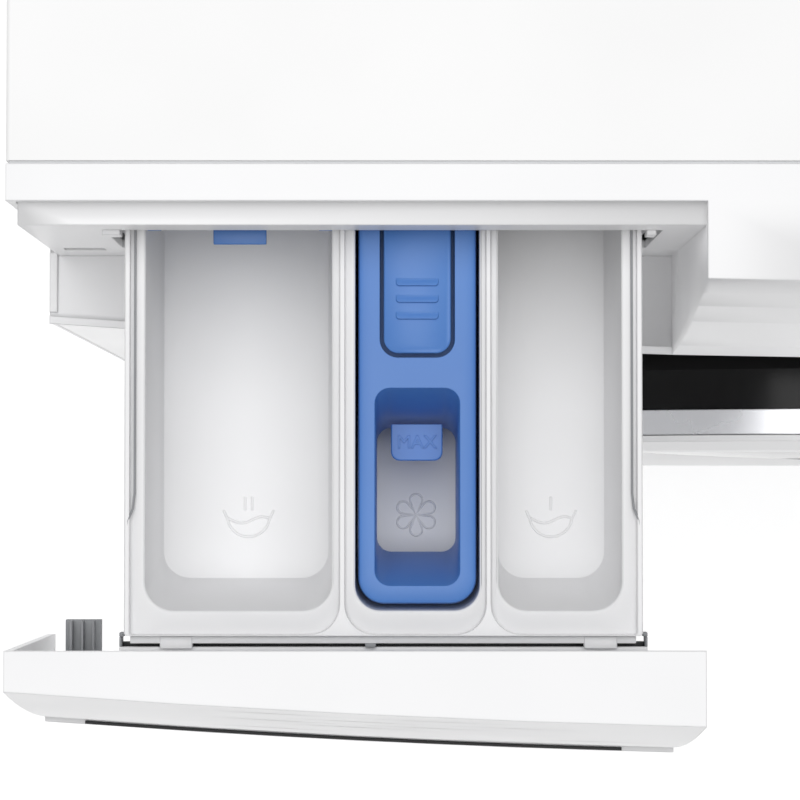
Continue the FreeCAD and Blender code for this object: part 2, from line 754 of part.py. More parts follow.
def drawer_tray():
    block = box("tray_block", ("tray_left", "tray_right"),
                ("tray_front", "tray_front + tray_length"), ("tray_low", "tray_top"))
    bays = [bay("wash_bay", "wash_left", "wash_width"), bay("soft_bay", "soft_left", "soft_width"),
            bay("pre_bay", "pre_left", "pre_width")]
    tray_back = "tray_front + tray_length"
    drains = []
    for name, low, high in (("wash_drain", "wash_left + 12", "wash_left + wash_width - 12"),
                            ("soft_drain", "soft_left + 12", "soft_left + soft_width - 12"),
                            ("pre_drain", "pre_left + 10", "pre_left + pre_width - 10")):
        drains.append(box(name, (low, high), (f"{tray_back} - tray_floor - 8", f"{tray_back} + 1"),
                          ("bay_floor - 0.5", "bay_floor + 14")))
    socket = rod("flap_sockets", "x", "2 + running_gap",
                 ("wash_left - 2.4", "wash_left + wash_width + 2.4"), FLAP_PIVOT)
    return node(pulled(cut("tray_moulding", block, *bays, *drains, socket)), "drawer_tray")


def siphon_insert():
    low = "bay_floor + 9"
    hood = padded("siphon_hood", "XY_Plane",
                  [("siphon_left", "siphon_front"), ("siphon_right", "siphon_front"),
                   ("siphon_right", "siphon_back"), ("siphon_left", "siphon_back")],
                  f"siphon_top - ({low})")
    place(hood, z=low)
    rounded(hood, "siphon_corners", "bay_corner", upright)
    chamber = box("siphon_chamber", ("siphon_left + siphon_wall", "siphon_right - siphon_wall"),
                  (f"{WELL[1]} + siphon_wall", "siphon_back - siphon_wall"),
                  (f"{low} - 1", "siphon_top - siphon_wall"))
    well = box("siphon_well", (f"{SOFT_MID} - 12.4", f"{SOFT_MID} + 12.4"), WELL,
               (f"{low} - 1", "siphon_top + 1"))
    slot = box("tab_slot", (f"{SOFT_MID} - tab_width / 2 - tab_gap",
                            f"{SOFT_MID} + tab_width / 2 + tab_gap"),
               (f"{TAB_FRONT} - tab_gap", "siphon_back - 8"),
               ("siphon_top - siphon_wall - 1", "siphon_top + 1"))
    shell = cut("siphon_shell", hood, chamber, well, slot)
    edge = "(tab_width / 2 + tab_gap)"
    bosses = [box(f"tab_boss_{side}", (f"{SOFT_MID} + ({low})", f"{SOFT_MID} + ({high})"),
                  (f"{TAB_PIVOT[0]} - 4", f"{TAB_PIVOT[0]} + 4"),
                  (f"{TAB_PIVOT[1]} - 3.5", "siphon_top - 1"))
              for side, low, high in (("left", f"-{edge} - 4", f"-{edge}"),
                                      ("right", edge, f"{edge} + 4"))]
    bore = rod("tab_pivot_bore", "x", "1.5 + running_gap",
               (f"{SOFT_MID} - {edge} - 3", f"{SOFT_MID} + {edge} + 3"), TAB_PIVOT)
    return node(pulled(cut("siphon_moulding", join("siphon_solid", shell, *bosses), bore)),
                "siphon_insert")


def release_tab():
    blade = box("tab_blade", (f"{SOFT_MID} - tab_width / 2", f"{SOFT_MID} + tab_width / 2"),
                (TAB_FRONT, "siphon_back - 9"), ("siphon_top - siphon_wall", "siphon_top"))
    grips = [box(f"tab_grip_{number}", (f"{SOFT_MID} - 6.5", f"{SOFT_MID} + 6.5"),
                 (f"{TAB_FRONT} + 10 + 5 * {number}", f"{TAB_FRONT} + 11.4 + 5 * {number}"),
                 ("siphon_top - 1", "siphon_top + 0.7")) for number in range(3)]
    reach = "tab_width / 2 + tab_gap + 2.6"
    pivot = rod("tab_pivot", "x", "1.5", (f"{SOFT_MID} - ({reach})", f"{SOFT_MID} + {reach}"),
                TAB_PIVOT)
    return node(pulled(join("tab_moulding", blade, pivot, *grips)), "release_tab")


def liquid_flap():
    start = "wash_left + 3"
    end = "wash_left + wash_width - 3"
    hinge_y, hinge_z = FLAP_PIVOT
    leaf = box("flap_leaf", (start, end), (hinge_y, f"{hinge_y} + 36"),
               (f"{hinge_z} - 1", f"{hinge_z} + 1"))
    pivot = rod("flap_pivot", "x", "2", ("wash_left - 2", "wash_left + wash_width + 2"),
                FLAP_PIVOT)
    grip = box("flap_grip", ("wash_left + 19.5", "wash_left + wash_width - 19.5"),
               (f"{hinge_y} - 7.4", f"{hinge_y} + 1"), (f"{hinge_z} - 1", f"{hinge_z} + 1"))
    return node(pulled(join("flap_moulding", leaf, pivot, grip)), "liquid_flap")


STUB_AT = ("tray_left + 116", "front + 215")    # the hose from housing to tub


def dispenser_housing():
    top = "tray_top + 1.5"
    shell = box("housing_block", ("housing_left", "housing_right"),
                ("housing_front", "housing_back"), ("housing_low", f"{top} + housing_wall"))
    hollow = box("housing_hollow",
                 ("housing_left + housing_wall", "housing_right - housing_wall"),
                 ("housing_front - 1", "housing_back - housing_wall"),
                 ("housing_low + housing_wall", top))
    spout = rod("housing_spout", "z", "18", ("housing_low - 16", "housing_low + 1"), STUB_AT)
    spigot = rod("housing_spigot", "y", "6", ("housing_back - 1", "housing_back + 14"),
                 (VALVE_X, VALVE_Z))
    drain = rod("housing_drain", "z", "15", ("housing_low - 17", "housing_low + 3"), STUB_AT)
    inlet = rod("housing_inlet", "y", "4", ("housing_back - 4", "housing_back + 15"),
                (VALVE_X, VALVE_Z))
    rails = []
    for side, low, high in (("left", "tray_left + 2", "tray_left + 5"),
                            ("right", "tray_right - 5", "tray_right - 2")):
        rails.append(box(f"{side}_rail", (low, high), ("housing_front", "housing_back - housing_wall"),
                         ("housing_low + 1", "tray_low - 0.4")))
    shape = cut("housing_walls", join("housing_solid", shell, spout, spigot), hollow, drain, inlet)
    return node(join("housing_moulding", shape, *rails), "dispenser_housing")


# ---------------------------------------------------------------- water

TUB_AT = ("0", "axis")
SPIGOT = "hose_radius - hose_wall - 0.2"


def inlet_valve():
    body = box("valve_body", (f"{VALVE_X} - 16", f"{VALVE_X} + 16"), ("back - 44", "back - gauge"),
               (f"{VALVE_Z} - 16", f"{VALVE_Z} + 16"))
    coil = rod("valve_coil", "z", "11", (f"{VALVE_Z} - 40", f"{VALVE_Z} - 15"),
               (VALVE_X, "back - 28"))
    thread = rod("valve_thread", "y", "13.2", ("back - gauge - 1", "back + 14"), (VALVE_X, VALVE_Z))
    outlet = rod("valve_outlet", "y", "6", ("back - 58", "back - 43"), (VALVE_X, VALVE_Z))
    bore = rod("valve_bore", "y", "9", ("back - 8", "back + 15"), (VALVE_X, VALVE_Z))
    passage = rod("valve_passage", "y", "4", ("back - 59", "back - 7"), (VALVE_X, VALVE_Z))
    return node(cut("valve_moulding", join("valve_solid", body, coil, thread, outlet), bore, passage),
                "inlet_valve")


def straight_hose():
    span = ("housing_back + 2", "back - 46")
    tube = rod("valve_hose_tube", "y", "8.5", span, (VALVE_X, VALVE_Z))
    bore = rod("valve_hose_bore", "y", "6", (f"{span[0]} - 1", f"{span[1]} + 1"), (VALVE_X, VALVE_Z))
    return node(cut("valve_hose_wall", tube, bore), "valve_hose")


def bellows(name, at, low, high, bore, folds):
    """An upright corrugated hose."""
    step = f"(({high}) - ({low}) - 24) / {2 * folds}"
    corners = [(bore, low), (f"{bore} + 2.5", low), (f"{bore} + 2.5", f"{low} + 12")]
    for fold in range(1, 2 * folds):
        reach = "6" if fold % 2 else "2.5"
        corners.append((f"{bore} + {reach}", f"{low} + 12 + {fold} * {step}"))
    corners += [(f"{bore} + 2.5", f"{high} - 12"), (f"{bore} + 2.5", high), (bore, high)]
    body = turned(name, corners, plane="XZ_Plane", z="0")
    place(body, at[0], at[1], "0")
    return body


def sump_hose():
    x = value("casing_inner") - 188
    y = value("front") + 155
    level = value("pump_height")
    points = [Vector(x, y, value("axis - sqrt(tub_outer ^ 2 - (casing_inner - 188) ^ 2)") - 14),
              Vector(x, y, level), Vector(value("pump_right - pump_radius") - 4, y, level)]
    return swept("sump_hose_tube", points, 21.5, 18, 38)


def tub_hoses():
    fill = bellows("dispenser_bellows", STUB_AT, "axis + sqrt(tub_outer ^ 2 - 150 ^ 2) + 18",
                   "housing_low - 4", "18", 5)
    return node(group("tub_hose_pair", fill, sump_hose()), "tub_hoses")


def drain_hose():
    x = value(DRAIN_X)
    rear = value("back") - 42
    points = [Vector(x, value("front") + 205, value("pump_height")),
              Vector(x, rear, value("pump_height")), Vector(x, rear, value(DRAIN_Z)),
              Vector(x, value("back") - 6, value(DRAIN_Z))]
    radius = value("hose_radius")
    return node(swept("drain_hose_tube", points, radius, radius - value("hose_wall"), 26),
                "drain_hose")


def drain_outlet():
    flange = rod("outlet_flange", "y", "20", ("back", "back + 3"), (DRAIN_X, DRAIN_Z))
    spigot = rod("outlet_spigot", "y", "11", ("back + 1", "back + 26"), (DRAIN_X, DRAIN_Z))
    inner = rod("outlet_inner", "y", SPIGOT, ("back - 17", "back + 2"), (DRAIN_X, DRAIN_Z))
    bore = rod("outlet_bore", "y", "6.5", ("back - 23", "back + 27"), (DRAIN_X, DRAIN_Z))
    return node(cut("outlet_moulding", join("outlet_solid", flange, spigot, inner), bore),
                "drain_outlet")


def power_gland():
    at = (GLAND_X, DRAIN_Z)
    head = rod("gland_head", "y", "10", ("back", "back + 7"), at)
    neck = rod("gland_neck", "y", "6.8", ("back - 12", "back + 1"), at)
    bore = rod("gland_bore", "y", "3.6", ("back - 13", "back + 8"), at)
    return node(cut("gland_moulding", join("gland_solid", head, neck), bore), "power_gland")


def drain_pump():
    at = ("pump_right", "pump_height")
    barrel = rod("pump_barrel", "y", "pump_radius", ("front + 14", "front + 172"), at)
    volute = box("pump_volute", ("pump_right - pump_radius + 4", f"{DRAIN_X} + 12"),
                 ("front + 170", "front + 194"),
                 ("pump_height - pump_radius + 4", "pump_height + pump_radius - 4"))
    outlet = rod("pump_outlet", "y", SPIGOT, ("front + 190", "front + 222"),
                 (DRAIN_X, "pump_height"))
    inlet = rod("pump_inlet", "x", "18", ("pump_right - pump_radius - 16", "pump_right"),
                ("front + 155", "pump_height"))
    chamber = rod("pump_chamber", "y", "pump_radius - 3", ("front + 13", "front + 168"), at)
    inlet_bore = rod("pump_inlet_bore", "x", "15", ("pump_right - pump_radius - 17", "pump_right"),
                     ("front + 155", "pump_height"))
    eye = rod("pump_eye", "y", "9", ("front + 167", "front + 176"), at)
    scroll = rod("pump_scroll", "y", "pump_radius - 8", ("front + 174", "front + 190"), at)
    passage = box("pump_passage", ("pump_right", f"{DRAIN_X} + 6"), ("front + 176", "front + 188"),
                  ("pump_height - 6", "pump_height + 6"))
    outlet_bore = rod("pump_outlet_bore", "y", "6.5", ("front + 180", "front + 223"),
                      (DRAIN_X, "pump_height"))
    axle_hole = rod("pump_axle_hole", "y", "3.5", ("front + 188", "front + 195"), at)
    shape = cut("pump_moulding", join("pump_solid", barrel, volute, outlet, inlet), chamber,
                inlet_bore, eye, scroll, passage, outlet_bore, axle_hole)
    motor = rod("pump_coil", "y", "pump_radius - 8", ("front + 194", "front + 240"), at)
    motor_hole = rod("pump_coil_hole", "y", "3.5", ("front + 193", "front + 210"), at)
    disc = rod("impeller_disc", "y", "pump_radius - 12", ("front + 185", "front + 187.5"), at)
    axle = rod("impeller_axle", "y", "3", ("front + 179", "front + 208"), at)
    blades = [box("impeller_blade_1", ("pump_right - pump_radius + 13", "pump_right + pump_radius - 13"),
                  ("front + 178", "front + 185.5"), ("pump_height - 1.2", "pump_height + 1.2")),
              box("impeller_blade_2", ("pump_right - 1.2", "pump_right + 1.2"),
                  ("front + 178", "front + 185.5"),
                  ("pump_height - pump_radius + 13", "pump_height + pump_radius - 13"))]
    coil = cut("pump_coil_body", motor, motor_hole)
    return [node(join("pump_assembly", shape, coil), "drain_pump"),
            node(join("impeller_moulding", disc, axle, *blades), "pump_impeller")]


def filter_cap():
    at = ("pump_right", "pump_height")
    plug = rod("cap_plug", "y", "pump_radius - 3.4", ("front + 12", "front + 34"), at)
    rim = rod("cap_rim", "y", "pump_radius + 2", ("front + 9.5", "front + 13.5"), at)
    bar = box("cap_bar", ("pump_right - 24", "pump_right + 24"), ("front + 3.2", "front + 10"),
              ("pump_height - 4", "pump_height + 4"))
    comb = rod("cap_comb", "y", "pump_radius - 14", ("front + 33", "front + 80"), at)
    comb_bore = rod("cap_comb_bore", "y", "pump_radius - 17", ("front + 36", "front + 81"), at)
    solid = join("cap_solid", plug, rim, bar, comb)
    return node(cut("cap_moulding", solid, comb_bore), "filter_cap")


def filter_flap():
    low = "pump_height - flap_height / 2 + 1"
    wide = ("pump_right - flap_width / 2 + 1", "pump_right + flap_width / 2 - 1")
    leaf = box("flap_plate", wide, ("front - 1.4", "front + 1.4"),
               (f"{low} + 2", f"{low} + flap_height - 2"))
    bead = rod("flap_bead", "x", "2", wide, ("front", f"{low} + 2"))
    return node(join("flap_with_bead", leaf, bead), "filter_flap")


# ---------------------------------------------------------------- tub and drum

SPLIT = "(tub_face + tub_back) / 2"
SUMP_AT = ("casing_inner - 188", "front + 155")


def tub_bolt_rods(name, radius, start, end, count=12):
    reach = value("tub_outer") + 5
    rods = []
    for number in range(count):
        angle = 2 * math.pi * (number + 0.5) / count
        x = reach * math.sin(angle)
        z = value("axis") + reach * math.cos(angle)
        rods.append(rod(f"{name}_{number + 1}", "y", radius, (start, end), (str(x), str(z))))
    return rods


def tub_front():
    wall = turned("tub_front_wall", [
        ("tub_inner", SPLIT), ("tub_inner", "tub_face + 4"), ("neck", "tub_face + 4"),
        ("neck", "tub_face - 18"), ("neck + 3", "tub_face - 18"), ("neck + 3", "tub_face"),
        ("tub_outer", "tub_face"), ("tub_outer", f"{SPLIT} - 6"),
        ("tub_outer + tub_flange", f"{SPLIT} - 6"), ("tub_outer + tub_flange", SPLIT)])
    hollow = rod("tub_front_space", "y", "tub_inner", ("tub_face + 4", SPLIT), TUB_AT)
    spout = rod("tub_spout", "z", "18", ("axis", "axis + sqrt(tub_outer ^ 2 - 150 ^ 2) + 30"),
                STUB_AT)
    sump = rod("tub_sump", "z", "18", ("axis - sqrt(tub_outer ^ 2 - 110 ^ 2) - 20", "axis"), SUMP_AT)
    spouts = cut("tub_spouts", join("tub_spout_pair", spout, sump), hollow)
    bores = [rod("tub_spout_bore", "z", "15", ("axis + 60", "axis + tub_outer + 60"), STUB_AT),
             rod("tub_sump_bore", "z", "15", ("axis - tub_outer - 60", "axis - 60"), SUMP_AT)]
    holes = tub_bolt_rods("tub_front_hole", "2.6", f"{SPLIT} - 7", f"{SPLIT} + 1")
    solid = join("tub_front_solid", wall, spouts)
    return node(cut("tub_front_moulding", solid, *bores, *holes), "tub_front")


def tub_rear():
    wall = turned("tub_rear_wall", [
        ("tub_inner", SPLIT), ("tub_outer + tub_flange", SPLIT),
        ("tub_outer + tub_flange", f"{SPLIT} + 6"), ("tub_outer", f"{SPLIT} + 6"),
        ("tub_outer", "tub_back + 4"), ("hub_radius", "tub_back + 4"), ("hub_radius", "hub_end"),
        ("bearing_radius", "hub_end"), ("bearing_radius", "tub_back"), ("tub_inner", "tub_back")])
    holes = tub_bolt_rods("tub_rear_hole", "2.6", f"{SPLIT} - 1", f"{SPLIT} + 7")
    ribs = []
    for number in range(8):
        rib = box(f"tub_rib_{number + 1}", ("-2", "2"), ("tub_back + 3", "tub_back + 20"),
                  ("hub_radius - 1", "tub_outer - 6"))
        turn = FreeCAD.Rotation(Vector(0, 1, 0), 45 * number + 22.5)
        rib.setExpression("Placement.Base.x", None)
        rib.setExpression("Placement.Base.z", None)
        rib.Placement = FreeCAD.Placement(Vector(0, 0, value("axis")), turn).multiply(
            FreeCAD.Placement(Vector(-2, value("tub_back + 3"), value("hub_radius - 1")),
                              FreeCAD.Rotation()))
        ribs.append(rib)
    tubes = [rod(f"heater_hole_{number}", "y", "3.8", ("tub_back - 1", "tub_back + 5"),
                 (x, HEATER_Z)) for number, x in enumerate(("-28", "28"), start=1)]
    solid = join("tub_rear_solid", wall, *ribs)
    return node(cut("tub_rear_moulding", solid, *holes, *tubes), "tub_rear")


HEATER_Z = "axis - (drum_radius + tub_inner) / 2"


def heater():
    level = value(HEATER_Z)
    rear = value("tub_back") + 22
    ahead = value("tub_face") + 90
    points = [Vector(-28, rear, level), Vector(-28, ahead, level), Vector(28, ahead, level),
              Vector(28, rear, level)]
    element = swept("heater_element", points, 3.5, 1.5, 22)
    return node(element, "heater")


def tub_bolts():
    shanks = tub_bolt_rods("tub_bolt_shank", "2.5", f"{SPLIT} - 8", f"{SPLIT} + 9")
    heads = tub_bolt_rods("tub_bolt_head", "4.2", f"{SPLIT} - 10", f"{SPLIT} - 6")
    bolts = [join(f"tub_bolt_{number}", shank, head)
             for number, (shank, head) in enumerate(zip(shanks, heads), start=1)]
    return bolts


def counterweights():
    ring = turned("front_weight_ring", [
        ("neck + 14", "tub_face"), ("neck + 14", "tub_face - 26"),
        ("tub_outer - 8", "tub_face - 26"), ("tub_outer - 8", "tub_face")])
    gap = box("weight_gap", ("-tub_outer", "tub_outer"), ("tub_face - 30", "tub_face + 2"),
              ("axis - 12", "axis + 12"))
    block = box("upper_weight_block", ("-85", "120"), (f"{SPLIT} + 14", f"{SPLIT} + 130"),
                ("axis + 190", "fascia_foot - top_room + 28"))
    seat = rod("upper_weight_seat", "y", "tub_outer", (f"{SPLIT} + 10", f"{SPLIT} + 134"), TUB_AT)
    return node(group("weights", cut("front_weight_cast", ring, gap),
                      cut("upper_weight_cast", block, seat)), "counterweights")


def bearings():
    rings = []
    for name, span in (("front", ("tub_back + 8", "tub_back + 8 + bearing_width")),
                       ("rear", ("hub_end - bearing_width", "hub_end"))):
        outer = rod(f"{name}_bearing_ring", "y", "bearing_radius", span, TUB_AT)
        bore = rod(f"{name}_bearing_bore", "y", "shaft_radius + running_gap",
                   (f"{span[0]} - 1", f"{span[1]} + 1"), TUB_AT)
        rings.append(cut(f"{name}_bearing", outer, bore))
    ring = rod("seal_ring", "y", "bearing_radius", ("tub_back", "tub_back + 7.5"), TUB_AT)
    bore = rod("seal_bore", "y", "shaft_radius + 0.3", ("tub_back - 1", "tub_back + 8"), TUB_AT)
    return [node(group("bearing_pair", *rings), "drum_bearings"),
            node(cut("seal_moulding", ring, bore), "shaft_seal")]


def drum_shell():
    body = turned("drum_pressing", [
        ("drum_mouth", "drum_face"), ("drum_radius", "drum_face"), ("drum_radius", "drum_back"),
        ("drum_radius - drum_gauge", "drum_back"),
        ("drum_radius - drum_gauge", "drum_face + drum_gauge"),
        ("drum_mouth + 3", "drum_face + drum_gauge"), ("drum_mouth + 3", "drum_face + 7"),
        ("drum_mouth", "drum_face + 7")])
    disc = turned("drum_disc", [
        ("0", "drum_back - drum_gauge"), ("drum_radius - drum_gauge", "drum_back - drum_gauge"),
        ("drum_radius - drum_gauge", "drum_back"), ("0", "drum_back")])
    return node(join("drum_welded", body, disc), "drum_shell")


def about_drum(item, angle):
    """Turn a piece about the drum's axis."""
    centre = Vector(0, 0, value("axis"))
    item.Placement = FreeCAD.Placement(centre, FreeCAD.Rotation(Vector(0, 1, 0), angle)).multiply(
        FreeCAD.Placement(centre * -1, FreeCAD.Rotation()))
    return item


def drum_lifters():
    paddles = []
    for number, angle in enumerate((60, 180, 300), start=1):
        wedge = padded(f"lifter_wedge_{number}", "XZ_Plane", [
            ("-30", "drum_radius - lifter_rise / 4 - 20"), ("-11", "drum_radius - lifter_rise"),
            ("11", "drum_radius - lifter_rise"), ("30", "drum_radius - lifter_rise / 4 - 20"),
            ("30", "drum_radius + 5"), ("-30", "drum_radius + 5")], "drum_back - drum_face - 40")
        place(wedge, y="drum_back - 12", z="axis")
        limit = rod(f"lifter_limit_{number}", "y", "drum_radius - drum_gauge",
                    ("drum_face", "drum_back"), TUB_AT)
        paddles.append(about_drum(common(f"lifter_{number}", wedge, limit), angle))
    return node(group("lifter_set", *paddles), "drum_lifters")


def drum_spider():
    hub = rod("spider_hub", "y", "46", ("drum_back", "drum_back + 19"), TUB_AT)
    arms = []
    for number in range(3):
        arm = box(f"spider_arm_{number + 1}", ("-15", "15"), ("drum_back", "drum_back + 14"),
                  ("axis", "axis + drum_radius - 8"))
        arms.append(about_drum(group(f"spider_arm_turned_{number + 1}", arm), 120 * number))
    shaft = rod("shaft_bar", "y", "shaft_radius", ("drum_back + 3", "pulley_face + pulley_width + 2"),
                TUB_AT)
    return node(join("spider_casting", hub, *arms, shaft), "drum_spider")


def drum_pulley():
    disc = turned("pulley_casting", [
        ("shaft_radius", "pulley_face - 6"), ("shaft_radius + 12", "pulley_face - 6"),
        ("shaft_radius + 12", "pulley_face + 3"), ("pulley_radius - 8", "pulley_face + 3"),
        ("pulley_radius - 8", "pulley_face"), ("pulley_radius", "pulley_face"),
        ("pulley_radius", "pulley_face + pulley_width"),
        ("pulley_radius - 8", "pulley_face + pulley_width"),
        ("pulley_radius - 8", "pulley_face + pulley_width - 4"),
        ("shaft_radius + 12", "pulley_face + pulley_width - 4"),
        ("shaft_radius + 12", "pulley_face + pulley_width"),
        ("shaft_radius", "pulley_face + pulley_width")])
    holes = []
    for number in range(6):
        angle = math.pi / 3 * number
        reach = value("pulley_radius") * 0.57
        holes.append(rod(f"pulley_hole_{number + 1}", "y", "pulley_radius / 5",
                         ("pulley_face - 1", "pulley_face + pulley_width + 1"),
                         (str(reach * math.cos(angle)), str(value("axis") + reach * math.sin(angle)))))
    return node(cut("pulley_wheel", disc, *holes), "drum_pulley")


def drive_belt():
    """A closed band round the two pulleys, standing just clear of both."""
    big = Vector(0, 0, value("axis"))
    small = Vector(-value("motor_left"), 0, value("motor_height"))
    start = value("pulley_face") + 2
    wide = value("pulley_width") - 4
    bands = []
    for extra in (value("belt_thick"), 0):
        big_radius = value("pulley_radius + belt_gap") + extra
        small_radius = value("pinion_radius + belt_gap") + extra
        between = small - big
        bearing = math.atan2(between.z, between.x)
        lean = math.acos((big_radius - small_radius) / between.Length)
        spots = []
        for centre, radius, angle in ((big, big_radius, bearing + lean),
                                      (small, small_radius, bearing + lean),
                                      (small, small_radius, bearing),
                                      (small, small_radius, bearing - lean),
                                      (big, big_radius, bearing - lean),
                                      (big, big_radius, bearing + math.pi)):
            spots.append(centre + Vector(radius * math.cos(angle), start, radius * math.sin(angle)))
        loop = Part.Wire([Part.LineSegment(spots[0], spots[1]).toShape(),
                          Part.Arc(spots[1], spots[2], spots[3]).toShape(),
                          Part.LineSegment(spots[3], spots[4]).toShape(),
                          Part.Arc(spots[4], spots[5], spots[0]).toShape()])
        bands.append(Part.Face(loop).extrude(Vector(0, wide, 0)))
    item = doc.addObject("Part::Feature", "belt_band")
    item.Shape = bands[0].cut(bands[1])
    return node(item, "drive_belt")


def motor():
    at = ("-motor_left", "motor_height")
    can = rod("motor_can", "y", "motor_radius", ("pulley_face - 10 - motor_length", "pulley_face - 10"),
              at)
    lug = box("motor_lug", ("-motor_left - 16", "-motor_left + 16"),
              ("pulley_face - motor_length", "tub_back"), ("motor_height + 20", "axis - 150"))
    seat = rod("motor_lug_seat", "y", "tub_outer", ("pulley_face - motor_length - 2", "tub_back + 2"),
               TUB_AT)
    bore = rod("motor_bore", "y", "6 + running_gap", ("pulley_face - 40", "pulley_face - 9"), at)
    body = join("motor_solid", can, cut("motor_lug_cast", lug, seat))
    pinion = rod("pinion", "y", "pinion_radius", ("pulley_face", "pulley_face + pulley_width"), at)
    spindle = rod("motor_spindle", "y", "6", ("pulley_face - 38", "pulley_face + pulley_width + 3"), at)
    return [node(cut("motor_body", body, bore), "drive_motor"),
            node(join("motor_rotor", pinion, spindle), "motor_pulley")]


def strut(name, low, high, radius):
    """A round bar between two points."""
    way = high - low
    item = doc.addObject("Part::Cylinder", name)
    item.Radius = radius
    item.Height = way.Length
    item.Placement = FreeCAD.Placement(low, FreeCAD.Rotation(Vector(0, 0, 1), way))
    return item


def suspension():
    springs = []
    dampers = []
    reach = value("tub_outer") - 38
    for number, side in enumerate((-1, 1), start=1):
        x = side * reach
        top = value("casing_top") - 22
        tub_z = value("axis") + math.sqrt(value("tub_outer") ** 2 - reach ** 2)
        tube = rod(f"spring_coil_{number}", "z", "14", (str(tub_z + 34), str(top - 20)), (str(x), "90"))
        bore = rod(f"spring_bore_{number}", "z", "11", (str(tub_z + 30), str(top)), (str(x), "90"))
        coil = cut(f"spring_tube_{number}", tube, bore)
        lug = box(f"spring_lug_{number}", (str(x - 11), str(x + 11)), ("86", "94"),
                  (str(tub_z - 40), str(tub_z + 36)))
        seat = rod(f"spring_seat_{number}", "y", "tub_outer", ("80", "100"), TUB_AT)
        hook = rod(f"spring_hook_{number}", "z", "2.5", (str(top - 24), str(top)), (str(x), "90"))
        cap = rod(f"spring_cap_{number}", "z", "14", (str(top - 21), str(top - 18)), (str(x), "90"))
        springs.append(join(f"spring_{number}", coil, cut(f"spring_foot_{number}", lug, seat), hook, cap))
        lean = math.radians(32)
        grip = Vector(side * value("tub_outer") * math.sin(lean), 5,
                      value("axis") - value("tub_outer") * math.cos(lean))
        foot = Vector(side * (value("casing_inner") - 85), 5, value("foot_gap + base_wall") + 14)
        way = (grip - foot).normalize()
        barrel = strut(f"damper_barrel_{number}", foot, foot + way * 90, 11)
        piston = strut(f"damper_piston_{number}", foot + way * 88, grip - way * 13, 5)
        top_eye = rod(f"damper_eye_{number}", "y", "9", ("-7", "17"),
                      (str(grip.x - way.x * 10), str(grip.z - way.z * 10)))
        low_eye = rod(f"damper_foot_{number}", "y", "14", ("-7", "17"), (str(foot.x), str(foot.z)))
        dampers.append(join(f"damper_{number}", barrel, piston, top_eye, low_eye))
    return [node(group("spring_set", *springs), "suspension_springs"),
            node(group("damper_set", *dampers), "suspension_dampers")]


# ---------------------------------------------------------------- door

def door_gasket():
    body = turned("gasket_moulding", [
        ("mouth - 5", "front - 2"), ("mouth + 2", "front - 2"), ("mouth + 2", "front - 0.3"),
        ("mouth - 0.3", "front - 0.3"), ("mouth - 0.3", "front + 22"), ("mouth + 6", "front + 24"),
        ("mouth + 6", "front + 30"), ("neck + 7", "front + 34"), ("neck + 7", "tub_face - 12"),
        ("neck + 3", "tub_face - 12"), ("neck + 3", "tub_face - 18.5"),
        ("neck - 1", "tub_face - 18.5"), ("neck - 1", "front + 40"), ("mouth + 2", "front + 32"),
        ("mouth - 5", "front + 20")])
    return node(body, "door_gasket")


def gasket_clamp():
    ring = rod("clamp_ring", "y", "neck + 8.2", ("tub_face - 20 + 1", "tub_face - 13"), TUB_AT)
    bore = rod("clamp_bore", "y", "neck + 7", ("tub_face - 22", "tub_face - 11"), TUB_AT)
    return cut("clamp_band", ring, bore)


ARM_Z = ("axis - 28", "axis + 28")
ARM_X = ("hinge_side + 3", "-door_radius + 34")


def door_frame():
    ring = turned("door_frame_ring", [
        ("door_radius - 0.8", "door_front + 14.4"), ("door_radius - 0.8", "door_back - 8"),
        ("door_radius - 8", "door_back"), ("mouth - 10", "door_back"),
        ("mouth - 10", "door_back - 3"), ("door_radius - 9.5", "door_back - 3"),
        ("door_radius - 3.8", "door_back - 9"), ("door_radius - 3.8", "door_front + 14.4")])
    arm_slot = box("arm_slot", ("-door_radius - 5", "-door_radius + 36"),
                   ("hinge_out - 6", "hinge_out + 8"), (f"{ARM_Z[0]} - 1", f"{ARM_Z[1]} + 1"))
    hook_slot = box("frame_hook_slot", (f"{HOOK_X} - 12", f"{HOOK_X} + 12"),
                    ("door_back - 4", "door_back + 1"), ("axis - 8", "axis + 8"))
    ears = [box(f"hook_ear_{number}", (f"{HOOK_X} - 6", f"{HOOK_X} + 8"),
                ("front - 21", "door_back - 1"), (low, f"{low} + 4"))
            for number, low in enumerate(("axis - 12.5", "axis + 8.5"), start=1)]
    pin = rod("hook_pin_bar", "z", "2", ("axis - 12", "axis + 12"), (HOOK_X, "front - 14"))
    opened = cut("door_frame_opened", ring, arm_slot, hook_slot)
    return node(join("door_frame_moulding", opened, *ears, pin), "door_frame")


def door_trim():
    ring = turned("door_trim_ring", [
        ("door_radius", "door_front + 5.4"), ("door_radius", "door_front + 14.2"),
        ("door_radius - 6", "door_front + 14.2"), ("door_radius - 6", "door_front + 5.4")])
    return node(ring, "door_trim_ring")


